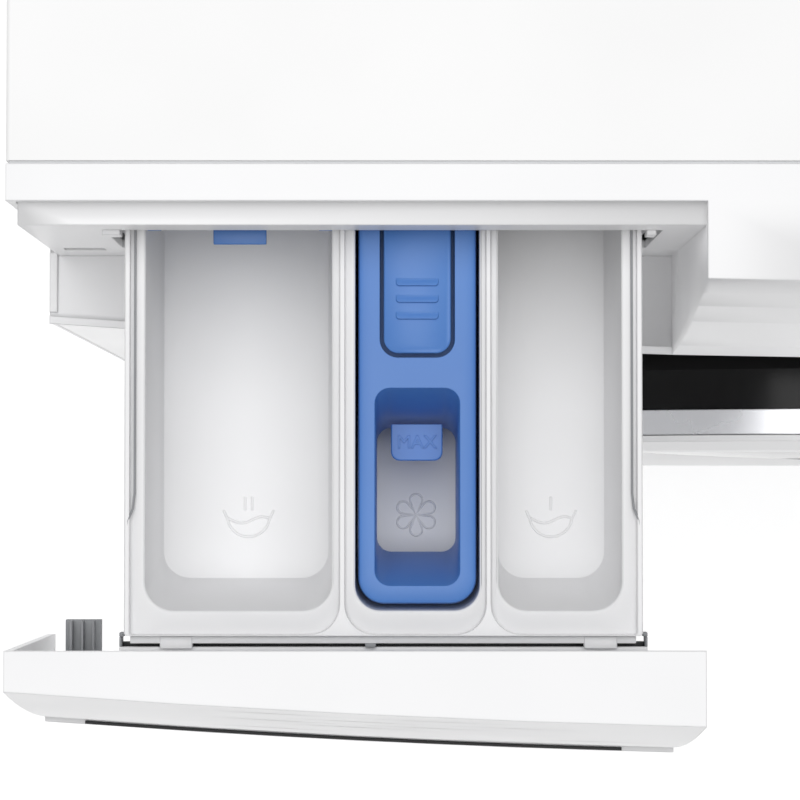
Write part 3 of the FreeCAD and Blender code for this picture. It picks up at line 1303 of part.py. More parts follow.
def door_bezel():
    ring = turned("door_bezel_ring", [
        ("door_radius + 0.2", "door_front + 5.2"), ("door_radius - 10", "door_front + 5.2"),
        ("mouth + 3", "door_front + 10"),
        ("mouth + 3", "door_front + 6.5", "120", -1), ("door_radius - 7", "door_front"),
        ("door_radius + 0.2", "door_front + 3")])
    grip = box("grip_slot", ("mouth + 22", "mouth + 46"), ("door_front - 1", "door_front + 16"),
               ("axis - 38", "axis + 38"))
    outer = box("grip_cup_block", ("mouth + 20.5", "mouth + 47.5"),
                ("door_front + 8", "door_front + 17.5"), ("axis - 39.5", "axis + 39.5"))
    hollow = box("grip_cup_hollow", ("mouth + 22", "mouth + 46"),
                 ("door_front + 7", "door_front + 16"), ("axis - 38", "axis + 38"))
    cup = cut("grip_cup", outer, hollow)
    return node(join("door_bezel_moulding", cut("door_bezel_cut", ring, grip), cup), "door_bezel")


def door_window():
    pane = turned("window_pane", [
        ("0", "door_front - 1"), ("mouth + 2.6", "door_front + 7.2"),
        ("mouth + 2.6", "door_front + 10"), ("0", "door_front + 2")])
    return node(pane, "door_window")


def door_glass():
    deep = "door_back + glass_depth"
    bowl = turned("glass_bowl", [
        ("mouth - 4", "door_back - 3.2"), ("mouth - 4", "door_back - 3.2 - glass_wall"),
        ("mouth - 19", "door_back - 3.2 - glass_wall"), ("mouth - 28", "door_back + 28"),
        ("mouth - 52", f"{deep} - 26"), ("mouth - 82", f"{deep} - glass_wall"),
        ("0", f"{deep} - glass_wall - 1"), ("0", deep), ("mouth - 80", f"{deep}"),
        ("mouth - 48", f"{deep} - 24"), ("mouth - 24", "door_back + 28"),
        ("mouth - 14.5", "door_back - 3.2")])
    return node(bowl, "door_glass")


def glass_ring():
    ring = turned("glass_ring_moulding", [
        ("mouth - 18", "door_back - 7.6"), ("mouth + 16", "door_back - 7.6"),
        ("mouth + 16", "door_back - 3.2"), ("mouth + 19", "door_back - 3.2"),
        ("mouth + 19", "door_back - 11"), ("mouth - 18", "door_back - 11")])
    return node(ring, "glass_clamp_ring")


def hinge():
    lugs = []
    for name, low in (("low", f"{ARM_Z[0]} - 14"), ("high", f"{ARM_Z[1]} + 1")):
        span = (low, f"{low} + 13")
        lugs.append(box(f"{name}_lug", ("hinge_side - 6", "hinge_side + 6"),
                        ("hinge_out", "front - 0.5"), span))
        lugs.append(rod(f"{name}_lug_eye", "z", "6", span, ("hinge_side", "hinge_out")))
    plate = box("hinge_plate", ("hinge_side - 22", "hinge_side + 6"), ("front - 2.5", "front"),
                (f"{ARM_Z[0]} - 24", f"{ARM_Z[1]} + 24"))
    pin_hole = rod("hinge_pin_hole", "z", "hinge_pin", (f"{ARM_Z[0]} - 30", f"{ARM_Z[1]} + 30"),
                   ("hinge_side", "hinge_out"))
    bracket = cut("hinge_bracket_cast", join("hinge_bracket_solid", plate, *lugs), pin_hole)
    pin = rod("hinge_pin_bar", "z", "hinge_pin", (f"{ARM_Z[0]} - 15", f"{ARM_Z[1]} + 15"),
              ("hinge_side", "hinge_out"))
    eye = rod("arm_eye", "z", "6", ARM_Z, ("hinge_side", "hinge_out"))
    arm = box("arm_plate", ("hinge_side", ARM_X[1]), ("hinge_out - 4", "hinge_out + 4"), ARM_Z)
    bore = rod("arm_bore", "z", "hinge_pin + running_gap", (f"{ARM_Z[0]} - 1", f"{ARM_Z[1]} + 1"),
               ("hinge_side", "hinge_out"))
    return [node(bracket, "hinge_bracket"), node(pin, "hinge_pin"),
            node(cut("arm_cast", join("arm_solid", eye, arm), bore), "hinge_arm")]


def latch():
    level = ("axis - 5", "axis + 5")
    shank = box("hook_shank", (f"{HOOK_X} - 4", f"{HOOK_X} + 4"), ("front - 14", "front + 11"), level)
    nose = box("hook_nose", (f"{HOOK_X} - 7", f"{HOOK_X}"), ("front + 7", "front + 11"), level)
    boss = rod("hook_boss", "z", "6", level, (HOOK_X, "front - 14"))
    bore = rod("hook_bore", "z", "2 + running_gap", ("axis - 6", "axis + 6"), (HOOK_X, "front - 14"))
    block = box("lock_block", (f"{HOOK_X} - 18", f"{HOOK_X} + 18"), ("front + 3", "front + 34"),
                ("axis - 26", "axis + 30"))
    slot = box("lock_slot", (f"{HOOK_X} - 12", f"{HOOK_X} + 12"), ("front + 2", "front + 16"),
               ("axis - 9", "axis + 9"))
    return [node(cut("hook_cast", join("hook_solid", shank, nose, boss), bore), "door_hook"),
            node(cut("lock_body", block, slot), "door_lock")]


# ---------------------------------------------------------------- assembly

def build():
    block = bowed("fascia_block", FASCIA_FRONT)
    core = bowed("fascia_core", FASCIA_CORE)
    cabinet_shell()
    front_panel()
    base_tray()
    feet()
    screws = rear_cover()
    worktop()
    fascia(block, core)
    controls()
    drawer_panel(block, core)
    drawer_carrier(core)
    drawer_tray()
    siphon_insert()
    release_tab()
    liquid_flap()
    dispenser_housing()
    inlet_valve()
    straight_hose()
    tub_hoses()
    drain_hose()
    drain_outlet()
    power_gland()
    drain_pump()
    filter_cap()
    filter_flap()
    tub_front()
    tub_rear()
    heater()
    bolts = tub_bolts()
    counterweights()
    bearings()
    drum_shell()
    drum_lifters()
    drum_spider()
    drum_pulley()
    drive_belt()
    motor()
    suspension()
    door_gasket()
    node(group("fastener_set", *screws, *bolts, gasket_clamp()), "fasteners")
    door_frame()
    door_trim()
    door_bezel()
    door_window()
    door_glass()
    glass_ring()
    hinge()
    latch()


def write():
    doc.recompute()
    for item in doc.Objects:
        if "Invalid" in item.State or "Error" in item.State:
            raise ValueError(f"{item.Name} is not built: {item.State}")
    for item in FINISHED:
        if item.Shape.isNull() or not item.Shape.isValid() or not item.Shape.Solids:
            raise ValueError(f"{item.Label} has no valid solid")
    for item in FINISHED:
        item.Shape.exportStep(f"parts/{item.Label}.step")
    print(len(FINISHED), "nodes written")


build()
write()
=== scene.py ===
import json
import math

import bmesh
import bpy
from mathutils import Matrix, Vector


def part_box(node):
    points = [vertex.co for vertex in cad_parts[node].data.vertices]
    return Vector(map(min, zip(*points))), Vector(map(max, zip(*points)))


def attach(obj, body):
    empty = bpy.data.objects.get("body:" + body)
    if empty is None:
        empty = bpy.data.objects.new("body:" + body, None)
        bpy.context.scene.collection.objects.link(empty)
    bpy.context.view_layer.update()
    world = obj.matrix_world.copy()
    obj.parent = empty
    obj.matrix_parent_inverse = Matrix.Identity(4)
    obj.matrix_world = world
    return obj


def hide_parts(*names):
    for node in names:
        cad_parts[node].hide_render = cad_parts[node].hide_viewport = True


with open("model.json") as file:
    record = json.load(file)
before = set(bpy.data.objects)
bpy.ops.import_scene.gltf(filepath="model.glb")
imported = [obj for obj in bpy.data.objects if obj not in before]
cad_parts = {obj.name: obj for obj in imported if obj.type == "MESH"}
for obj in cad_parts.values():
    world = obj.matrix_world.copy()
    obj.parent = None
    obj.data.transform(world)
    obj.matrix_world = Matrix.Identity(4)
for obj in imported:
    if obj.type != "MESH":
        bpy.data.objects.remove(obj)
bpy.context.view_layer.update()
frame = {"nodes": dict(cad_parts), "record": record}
NODES = frame["nodes"]
SLOT_OF = {item["node"]: item["material_slot"] for item in frame["record"]["subparts"]}
BODY_OF = {node: body for body, nodes in frame["record"]["behaviour"]["bodies"].items()
           for node in nodes}
MM = 0.001


# ---------------------------------------------------------------- materials

def tone(code):
    """A linear colour from an sRGB hex value."""
    parts = [int(code[start:start + 2], 16) / 255 for start in (1, 3, 5)]
    return tuple(part / 12.92 if part <= 0.04045 else ((part + 0.055) / 1.055) ** 2.4
                 for part in parts) + (1,)


def add(tree, kind, settings=None, links=None):
    """One node, with its sockets set and fed from (node, output) pairs."""
    made = tree.nodes.new("ShaderNode" + kind)
    for name, value in (settings or {}).items():
        if name in made.inputs:
            made.inputs[name].default_value = value
        else:
            setattr(made, name, value)
    for name, (source, output) in (links or {}).items():
        tree.links.new(source.outputs[output], made.inputs[name])
    return made


def surface(name, fixed, clear=False):
    """A material with its shader; returns the tree, the shader and object coordinates."""
    made = bpy.data.materials.new(name)
    made.use_nodes = True
    tree = made.node_tree
    tree.nodes.clear()
    shader = add(tree, "BsdfPrincipled", fixed)
    add(tree, "OutputMaterial", links={"Surface": (shader, "BSDF")})
    return made, tree, shader, add(tree, "TexCoord")


def shade(tree, coords, size, low, high, detail=3.0, stops=(0.35, 0.65)):
    """A slow drift between two colours; size in millimetres."""
    cloud = add(tree, "TexNoise", {"Scale": 1 / (size * MM), "Detail": detail},
                {"Vector": (coords, "Object")})
    ramp = add(tree, "ValToRGB", links={"Fac": (cloud, "Fac")})
    for stop, place, code in zip(ramp.color_ramp.elements, stops, (low, high)):
        stop.position = place
        stop.color = tone(code)
    return ramp


def spread(tree, coords, size, low, high, detail=2.0):
    """A number that drifts between two values; size in millimetres."""
    cloud = add(tree, "TexNoise", {"Scale": 1 / (size * MM), "Detail": detail},
                {"Vector": (coords, "Object")})
    return add(tree, "MapRange", {"From Min": 0.3, "From Max": 0.7, "To Min": low, "To Max": high},
               {"Value": (cloud, "Fac")})


def grain(tree, coords, size, height, edge=0.0):
    """A fine even grain, over edges softened by the given radius in millimetres."""
    pits = add(tree, "TexNoise", {"Scale": 1 / (size * MM), "Detail": 4.0, "Roughness": 0.6},
               {"Vector": (coords, "Object")})
    rough = add(tree, "Bump", {"Strength": 0.35, "Distance": height * MM},
                {"Height": (pits, "Fac")})
    if edge:
        soft = add(tree, "Bevel", {"samples": 4, "Radius": edge * MM})
        tree.links.new(soft.outputs["Normal"], rough.inputs["Normal"])
    return rough


def moulded(name, low, high, rough, grain_size=0.7, height=0.02, edge=0.4, fixed=None):
    """A moulded plastic: even colour, fine spark-eroded grain, edges with a small radius."""
    made, tree, shader, coords = surface(name, {"IOR": 1.53, **(fixed or {})})
    tree.links.new(shade(tree, coords, 90, low, high).outputs["Color"], shader.inputs["Base Color"])
    tree.links.new(spread(tree, coords, 60, rough - 0.05, rough + 0.05).outputs["Result"],
                   shader.inputs["Roughness"])
    tree.links.new(grain(tree, coords, grain_size, height, edge).outputs["Normal"],
                   shader.inputs["Normal"])
    return made


def metal(name, low, high, rough, size, height, stretch=(1, 1, 1), edge=0.3, fixed=None):
    """A bare metal; stretch draws its marks out along an axis."""
    made, tree, shader, coords = surface(name, {"Metallic": 1.0, **(fixed or {})})
    drawn = add(tree, "Mapping", {"Scale": stretch}, {"Vector": (coords, "Object")})
    marks = add(tree, "TexNoise", {"Scale": 1 / (size * MM), "Detail": 5.0},
                {"Vector": (drawn, "Vector")})
    ramp = add(tree, "ValToRGB", links={"Fac": (marks, "Fac")})
    for stop, place, code in zip(ramp.color_ramp.elements, (0.3, 0.7), (low, high)):
        stop.position = place
        stop.color = tone(code)
    tree.links.new(ramp.outputs["Color"], shader.inputs["Base Color"])
    wear = add(tree, "MapRange", {"From Min": 0.3, "From Max": 0.7, "To Min": rough - 0.07,
                                  "To Max": rough + 0.07}, {"Value": (marks, "Fac")})
    tree.links.new(wear.outputs["Result"], shader.inputs["Roughness"])
    bump = add(tree, "Bump", {"Strength": 0.4, "Distance": height * MM}, {"Height": (marks, "Fac")})
    soft = add(tree, "Bevel", {"samples": 4, "Radius": edge * MM})
    tree.links.new(soft.outputs["Normal"], bump.inputs["Normal"])
    tree.links.new(bump.outputs["Normal"], shader.inputs["Normal"])
    return made


# Baked enamel on sheet steel: hard, bright, with the faint orange peel of sprayed powder.
ENAMEL = moulded("powder_coated_steel", "#EFEFF0", "#F0F0F1", 0.33, grain_size=2.2, height=0.010,
                 edge=0.5, fixed={"IOR": 1.5, "Coat Weight": 0.25, "Coat Roughness": 0.15})
# Melamine film on board: white, flatter than the enamel, with a pressed fine texture.
BOARD = moulded("melamine_faced_board", "#F1F1F1", "#F3F3F3", 0.42, grain_size=0.9, height=0.02)
# Moulded ABS of the fascia: satin, clean white.
ABS_WHITE = moulded("abs_satin_moulded", "#EFEFF0", "#F2F2F3", 0.36, grain_size=0.6,
                    height=0.012, edge=0.7)
# Moulded polypropylene of the drawer: slightly waxy, a little cooler and softer than the ABS.
PP_WHITE = moulded("polypropylene_white_moulded", "#E9E9EA", "#EDEDEE", 0.40, grain_size=0.6,
                   height=0.012, edge=0.35,
                   fixed={"IOR": 1.49, "Subsurface Weight": 0.08,
                          "Subsurface Radius": (0.004,) * 3})
# The same polypropylene dyed through in blue; light sinks in a little at thin edges.
PP_BLUE = moulded("polypropylene_blue_moulded", "#4A7BC2", "#5083CA", 0.38, grain_size=0.6,
                  height=0.012, edge=0.35,
                  fixed={"IOR": 1.49, "Subsurface Weight": 0.06,
                         "Subsurface Radius": (0.002, 0.003, 0.005)})
# Unpainted polypropylene of inner mouldings, mid grey with flow marks; also put on the end
# brackets, the ribbed stop and the tray side seams as painted shade.
PP_GREY = moulded("polypropylene_grey_moulded", "#8B8D90", "#96989B", 0.5,
                  grain_size=1.0, height=0.04)
# The same polypropylene, pale, for strips and clips that lie beside white enamel.
PP_GREY_LIGHT = moulded("polypropylene_pale_grey_moulded", "#C9CACC", "#D0D1D3", 0.45,
                        grain_size=0.8, height=0.02)
# Black ABS of the door's side, moulded smooth: near black, with a dim, slightly soft shine.
ABS_BLACK = moulded("abs_black_polished", "#020203", "#040405", 0.18, grain_size=1.5, height=0.002,
                    edge=0.5, fixed={"Specular IOR Level": 0.18})
# Black nylon of small fittings; also put on the block in the carrier gap and the rib along the
# panel's groove as painted shadow.
PA_BLACK = moulded("nylon_black_moulded", "#141416", "#1B1B1E", 0.5, grain_size=0.8, height=0.03)
# Smoked polycarbonate: deep grey, glossy, lets a little through.
SMOKED = moulded("polycarbonate_smoked_polished", "#101113", "#141518", 0.06, grain_size=4.0,
                 height=0.001, edge=0.4, fixed={"IOR": 1.585, "Transmission Weight": 0.55})
# Pressed soda-lime glass: clear, faintly green, with long shallow waves from the mould.
GLASS = moulded("soda_lime_glass_pressed", "#E6F1EE", "#ECF5F3", 0.03, grain_size=40, height=0.08,
                edge=0, fixed={"IOR": 1.52, "Transmission Weight": 1.0})
# ABS with a vacuum metal film, satin: looks like aluminium with no brush marks.
SILVERED = metal("abs_metallised_satin", "#D6D7DA", "#DFE0E3", 0.28, 60, 0.002, edge=0.8)
# Stainless drum sheet, polished along its roll, which runs round the drum.
DRUM_STEEL = metal("stainless_drum_polished", "#B3B5B7", "#C9CBCD", 0.22, 1.2, 0.004,
                   stretch=(0.06, 1, 0.06))
# Die-cast aluminium: dull, with a sandy skin.
CAST_ALLOY = metal("aluminium_die_cast", "#8F9193", "#A3A5A7", 0.48, 1.6, 0.06)
# Zinc on small steel parts: bright with a blue cast.
ZINC = metal("steel_zinc_plated", "#9FA4AA", "#B4B8BD", 0.34, 2.5, 0.02)
# Hot-dip galvanised sheet: large overlapping spangles.
GALVANISED = metal("steel_galvanised_sheet", "#9AA0A4", "#B5BABD", 0.38, 14, 0.01)
# Moulded rubber, grey: matt and slightly dusty.
RUBBER_GREY = moulded("epdm_grey_moulded", "#6F7173", "#7A7C7E", 0.62, grain_size=1.2, height=0.04,
                      fixed={"IOR": 1.5, "Sheen Weight": 0.15})
# Moulded rubber, black.
RUBBER_BLACK = moulded("epdm_black_moulded", "#17171A", "#1F1F22", 0.65, grain_size=1.2,
                       height=0.05, fixed={"IOR": 1.5, "Sheen Weight": 0.2})
# Glass-filled polypropylene of the tub: pale grey with swirls of fibre.
PP_FILLED = moulded("polypropylene_glass_filled", "#A9ACAA", "#BDBFBC", 0.55,
                    grain_size=1.8, height=0.08)
# Cast concrete counterweights: sandy, pitted, uneven.
CONCRETE = moulded("concrete_cast", "#7E7B74", "#9C988F", 0.88,
                   grain_size=2.2, height=0.7, edge=1.0)
# Electrocoated motor casing: near black, semi-matt.
E_COAT = moulded("steel_electrocoated", "#1C1E21", "#25272A", 0.42, grain_size=1.5, height=0.02)
# Circuit board laminate under green solder mask.
LAMINATE = moulded("laminate_solder_masked", "#14502A", "#1B6136", 0.35,
                   grain_size=2.0, height=0.02)

BY_SLOT = {
    "white_sheet": ENAMEL, "white_board": BOARD, "white_moulding": ABS_WHITE,
    "grey_moulding": PP_GREY, "black_moulding": PA_BLACK, "dark_gloss": SMOKED,
    "blue_moulding": PP_BLUE, "silver_ring": SILVERED, "glass": GLASS,
    "smoked_window": SMOKED, "drum_steel": DRUM_STEEL, "cast_alloy": CAST_ALLOY,
    "plain_steel": ZINC, "zinc_sheet": GALVANISED, "grey_rubber": RUBBER_GREY,
    "black_rubber": RUBBER_BLACK, "tub_plastic": PP_FILLED, "concrete": CONCRETE,
    "motor_paint": E_COAT, "circuit_board": LAMINATE,
}
SPECIAL = {"drawer_tray": PP_WHITE, "door_frame": ABS_BLACK}
for name, item in NODES.items():
    item.data.materials.clear()
    item.data.materials.append(SPECIAL.get(name, BY_SLOT[SLOT_OF[name]]))


# ---------------------------------------------------------------- makers

def piece(name, bm, material, node, replaced=True, crease=35.0):
    """Finish a mesh as an object that rides with a node's body."""
    mesh = bpy.data.meshes.new(name)
    bm.normal_update()
    bm.to_mesh(mesh)
    bm.free()
    mesh.materials.append(material)
    mesh.polygons.foreach_set("use_smooth", [True] * len(mesh.polygons))
    mesh.set_sharp_from_angle(angle=math.radians(crease))
    made = bpy.data.objects.new(name, mesh)
    bpy.context.scene.collection.objects.link(made)
    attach(made, BODY_OF[node])
    if replaced:
        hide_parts(node)
    return made


def tidy(bm):
    bmesh.ops.remove_doubles(bm, verts=bm.verts, dist=1e-6)
    bmesh.ops.recalc_face_normals(bm, faces=bm.faces)


CORNER_STEPS = 8
QUARTERS = ((1, 1), (-1, 1), (-1, -1), (1, -1))


def ring(bm, x, y, radius, z):
    """A rounded rectangle of points; radius may be one for each corner, from the rear
    right round by the rear left; z may depend on (x, y)."""
    radii = radius if isinstance(radius, tuple) else (radius,) * 4
    turn = CORNER_STEPS + 1
    made = bmesh.ops.create_circle(bm, segments=4 * turn, radius=1)["verts"]
    for index, vert in enumerate(made):
        corner, step = divmod(index, turn)
        side_x, side_y = QUARTERS[corner]
        angle = math.radians(90 * corner + 90 * step / CORNER_STEPS)
        at_x = x[side_x > 0] - side_x * radii[corner] + radii[corner] * math.cos(angle)
        at_y = y[side_y > 0] - side_y * radii[corner] + radii[corner] * math.sin(angle)
        vert.co = (at_x, at_y, z(at_x, at_y) if callable(z) else z)
    return made


def loop_edges(*rings):
    """The edges that run round the given rings."""
    return list({edge for one in rings for vert in one for edge in vert.link_edges
                 if edge.other_vert(vert) in set(one)})


def join(bm, rings):
    """Skin a run of rings."""
    bm.verts.index_update()
    edges = [list({edge for vert in one for edge in vert.link_edges}) for one in rings]
    for first, second in zip(edges, edges[1:]):
        bmesh.ops.bridge_loops(bm, edges=first + second)


def cap(bm, verts):
    """Close a ring with one flat face."""
    bmesh.ops.contextual_create(bm, geom=verts)


def block(bm, low, high, soft=0.0):
    """A box between two corners, its edges rounded."""
    made = bmesh.ops.create_cube(bm, size=1)["verts"]
    size = [b - a for a, b in zip(low, high)]
    bmesh.ops.scale(bm, vec=size, verts=made)
    bmesh.ops.translate(bm, vec=[(a + b) / 2 for a, b in zip(low, high)], verts=made)
    if soft:
        edges = list({edge for vert in made for edge in vert.link_edges})
        bmesh.ops.bevel(bm, geom=edges, offset=soft, offset_type="OFFSET", affect="EDGES",
                        segments=2, profile=0.5, material=-1)
    return made


def copied(node):
    """A merged copy of a node's mesh, with its flat faces made whole."""
    bm = bmesh.new()
    bm.from_mesh(NODES[node].data)
    bmesh.ops.remove_doubles(bm, verts=bm.verts, dist=1e-5)
    bmesh.ops.dissolve_limit(bm, angle_limit=math.radians(0.5), use_dissolve_boundaries=False,
                             verts=bm.verts, edges=bm.edges)
    return bm


# ---------------------------------------------------------------- drawer tray

tray_low, tray_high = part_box("drawer_tray")
TOP = tray_high.z
WALL, TRAY_FLOOR = 6.1 * MM, 3 * MM
WASH = (tray_low.x + WALL, tray_low.x + WALL + 55.1 * MM)
SOFT = (WASH[1] + 6.8 * MM, WASH[1] + (6.8 + 36.8) * MM)
PRE = (SOFT[1] + 5.4 * MM, SOFT[1] + (5.4 + 36.5) * MM)
BAY_FRONT = tray_low.y + 7.4 * MM
BAY_BACK = tray_high.y - TRAY_FLOOR
BAY_DEEP = tray_low.z + TRAY_FLOOR
LEDGE_START = BAY_FRONT + 25 * MM     # the ledges sink from here to the front
LEDGE_SINK = 3.4 * MM


def sink(y):
    """How far the ledge lies below the top of the tray."""
    share = (LEDGE_START - y) / (LEDGE_START - tray_low.y)
    share = min(max(share, 0.0), 1.0)
    return LEDGE_SINK * share * share * (3 - 2 * share)


def bay(bm, span, outer, corner, draft):
    """One compartment, from the edge of its ledge down to its floor; returns the edge.
    outer is the ledge's left, right and front, and its two front corners' radii;
    draft is how far the left, right and front walls lean in."""
    left, right = span
    ledge_left, ledge_right, ledge_front = outer[:3]
    lean_left, lean_right, lean_front = draft
    lip = 0.5 * MM
    small, large = 1 * MM, 3 * MM

    def ledge(share, drop=0.05 * MM):
        return lambda x, y: TOP - drop - share * sink(y)

    edge = ring(bm, (ledge_left, ledge_right), (ledge_front, BAY_BACK + 1 * MM),
                (1.2 * MM, 1.2 * MM, outer[3], outer[4]), TOP)
    step = ring(bm, (ledge_left + 0.12 * MM, ledge_right - 0.12 * MM),
                (ledge_front + 0.12 * MM, BAY_BACK + 0.9 * MM),
                (1.1 * MM, 1.1 * MM, outer[3], outer[4]), ledge(1.0))
    middle = ring(bm, ((ledge_left * 2 + left) / 3, (ledge_right * 2 + right) / 3),
                  ((ledge_front * 2 + BAY_FRONT) / 3, BAY_BACK + 0.6 * MM),
                  (small, small, corner, corner), ledge(0.62))
    near = ring(bm, ((ledge_left + left * 4) / 5, (ledge_right + right * 4) / 5),
                ((ledge_front + BAY_FRONT * 4) / 5, BAY_BACK + 0.3 * MM),
                (small, small, corner, corner), ledge(0.30))
    mouth = ring(bm, (left - lip, right + lip), (BAY_FRONT - lip, BAY_BACK + lip),
                 (large, large, corner, corner), ledge(0.27, 0.06 * MM))
    inner = ring(bm, (left, right), (BAY_FRONT, BAY_BACK),
                 (large, large, corner - lip, corner - lip), ledge(0.27, lip))
    left, right, front = left + lean_left, right - lean_right, BAY_FRONT + lean_front
    foot = ring(bm, (left, right), (front, BAY_BACK - 2 * MM),
                (large, large, corner, corner), BAY_DEEP + 3.2 * MM)
    heel = ring(bm, (left + 0.9 * MM, right - 0.9 * MM), (front + 0.9 * MM, BAY_BACK - 3 * MM),
                (large, large, corner - 0.6 * MM, corner - 0.6 * MM), BAY_DEEP + 1.1 * MM)
    flat = ring(bm, (left + 4 * MM, right - 4 * MM), (front + 4 * MM, BAY_BACK - 6 * MM),
                (2 * MM, 2 * MM, corner - 3 * MM, corner - 3 * MM), BAY_DEEP + 0.1 * MM)
    join(bm, [edge, step, middle, near, mouth, inner, foot, heel, flat])
    cap(bm, flat)
    return edge


def drawer_tray():
    bm = bmesh.new()
    front = tray_low.y + 0.3 * MM
    tight, wide = 0.8 * MM, 9 * MM        # radii of a ledge's front corners
    edges = [
        bay(bm, WASH, (tray_low.x + 1.5 * MM, WASH[1] + 2.4 * MM, front, tight, wide),
            9 * MM, (0.8 * MM, 1.2 * MM, 7.4 * MM)),
        bay(bm, SOFT, (SOFT[0] - 3.1 * MM, SOFT[1] + 2.0 * MM, front, wide, wide),
            8 * MM, (0.4 * MM, 0.4 * MM, 3 * MM)),
        bay(bm, PRE, (PRE[0] - 2.2 * MM, tray_high.x - 1.5 * MM, front, wide, tight),
            9 * MM, (0.8 * MM, 0.8 * MM, 7.4 * MM)),
    ]
    outline = ring(bm, (tray_low.x + 0.3 * MM, tray_high.x - 0.3 * MM),
                   (tray_low.y, tray_high.y - 0.3 * MM), 0.8 * MM, TOP)
    shoulder = ring(bm, (tray_low.x, tray_high.x), (tray_low.y, tray_high.y), 1.0 * MM,
                    TOP - 0.4 * MM)
    skirt = ring(bm, (tray_low.x + 1.2 * MM, tray_high.x - 1.2 * MM),
                 (tray_low.y + 1.0 * MM, tray_high.y - 0.6 * MM), 2.5 * MM, tray_low.z + 2 * MM)
    sole = ring(bm, (tray_low.x + 3.2 * MM, tray_high.x - 3.2 * MM),
                (tray_low.y + 3.0 * MM, tray_high.y - 2.6 * MM), 2.5 * MM, tray_low.z)
    web = loop_edges(*edges, outline)
    join(bm, [outline, shoulder, skirt, sole])
    cap(bm, sole)
    bmesh.ops.triangle_fill(bm, edges=web, use_beauty=True, use_dissolve=False)
    tidy(bm)
    return piece("tray_moulding", bm, PP_WHITE, "drawer_tray", crease=40)


drawer_tray()


# ---------------------------------------------------------------- softener insert

insert_low, insert_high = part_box("siphon_insert")
tab_low, tab_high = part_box("release_tab")
INSERT_TOP = insert_high.z
MID = (insert_low.x + insert_high.x) / 2
WELL = (insert_low.y + 5.5 * MM, insert_low.y + 63.5 * MM)
WELL_HALF = 12.4 * MM
TAB_HALF = 9.9 * MM
TAB_FRONT = tab_low.y


def softener_insert():
    """The blue lid of the softener bay, with its pouring well and the slot of its tab."""
    bm = bmesh.new()
    low, high = insert_low, insert_high

    def contour(inset, rear, front, level):
        return ring(bm, (low.x + inset, high.x - inset), (low.y + inset, high.y - inset),
                    (rear, rear, front, front), level)

    skirt = contour(0.6 * MM, 4 * MM, 7 * MM, low.z)
    wall = contour(0, 4 * MM, 7.6 * MM, INSERT_TOP - 1.3 * MM)
    turn = contour(0.35 * MM, 4 * MM, 7.3 * MM, INSERT_TOP - 0.45 * MM)
    crown = contour(1.4 * MM, 3 * MM, 6.3 * MM, INSERT_TOP)
    join(bm, [skirt, wall, turn, crown])
    well_x = (MID - WELL_HALF, MID + WELL_HALF)
    brow = ring(bm, (well_x[0] - 0.25 * MM, well_x[1] + 0.25 * MM),
                (WELL[0] - 0.25 * MM, WELL[1] + 0.25 * MM), 4.6 * MM, INSERT_TOP)
    drop = ring(bm, well_x, WELL, 4.3 * MM, INSERT_TOP - 0.5 * MM)
    base_x = (well_x[0] + 0.3 * MM, well_x[1] - 0.3 * MM)
    base_y = (WELL[0] + 9.2 * MM, WELL[1] - 10.6 * MM)
    slope = ring(bm, base_x, base_y, 4.4 * MM, INSERT_TOP - 30 * MM)
    under = ring(bm, base_x, base_y, 4.4 * MM, INSERT_TOP - 32 * MM)
    join(bm, [brow, drop, slope, under])
    slot_x = (MID - TAB_HALF - 1.2 * MM, MID + TAB_HALF + 1.2 * MM)
    slot_y = (TAB_FRONT - 1.3 * MM, tab_high.y + 1.5 * MM)
    slot_corners = (0.5 * MM, 0.5 * MM, 5.4 * MM, 5.4 * MM)
    slot_top = ring(bm, slot_x, slot_y, slot_corners, INSERT_TOP)
    slot_low = ring(bm, slot_x, slot_y, slot_corners, INSERT_TOP - 9 * MM)
    join(bm, [slot_top, slot_low])
    cap(bm, slot_low)
    web = loop_edges(crown, brow, slot_top)
    bmesh.ops.triangle_fill(bm, edges=web, use_beauty=True, use_dissolve=False)
    floor = loop_edges(skirt, under)
    for vert in under:
        vert.co.z = low.z
    bmesh.ops.triangle_fill(bm, edges=floor, use_beauty=True, use_dissolve=False)
    tidy(bm)
    return piece("softener_insert", bm, PP_BLUE, "siphon_insert", crease=40)


softener_insert()


def release_tab():
    """The springy tongue that frees the drawer, with three scooped grips."""
    bm = bmesh.new()
    x = (MID - TAB_HALF, MID + TAB_HALF)
    y = (TAB_FRONT, tab_high.y - 0.5 * MM)
    corners = (0.6 * MM, 0.6 * MM, 4.4 * MM, 4.4 * MM)
    level = INSERT_TOP
    low = ring(bm, x, y, corners, level - 1.8 * MM)
    side = ring(bm, x, y, corners, level - 0.3 * MM)
    top = ring(bm, (x[0] + 0.3 * MM, x[1] - 0.3 * MM), (y[0] + 0.3 * MM, y[1] - 0.3 * MM),
               corners, level)
    join(bm, [low, side, top])
    cap(bm, low)
    cap(bm, top)
    for number in range(3):
        front = TAB_FRONT + (10.0 + 4.95 * number) * MM
        grip_x = (MID - 6.3 * MM, MID + 6.3 * MM)
        base = ring(bm, grip_x, (front, front + 2.3 * MM), (0.2 * MM, 0.2 * MM, 1.0 * MM, 1.0 * MM),
                    level - 0.1 * MM)
        lift = lambda px, py: level + 0.75 * MM * min(max(1 - (py - front) / (2.2 * MM), 0.0), 1.0)
        crest = ring(bm, (grip_x[0] + 0.15 * MM, grip_x[1] - 0.15 * MM),
                     (front + 0.15 * MM, front + 2.2 * MM),
                     (0.2 * MM, 0.2 * MM, 0.9 * MM, 0.9 * MM), lift)
        join(bm, [base, crest])
        cap(bm, base)
        cap(bm, crest)
    bmesh.ops.recalc_face_normals(bm, faces=bm.faces)
    return piece("release_tongue", bm, PP_BLUE, "release_tab", crease=40)


release_tab()


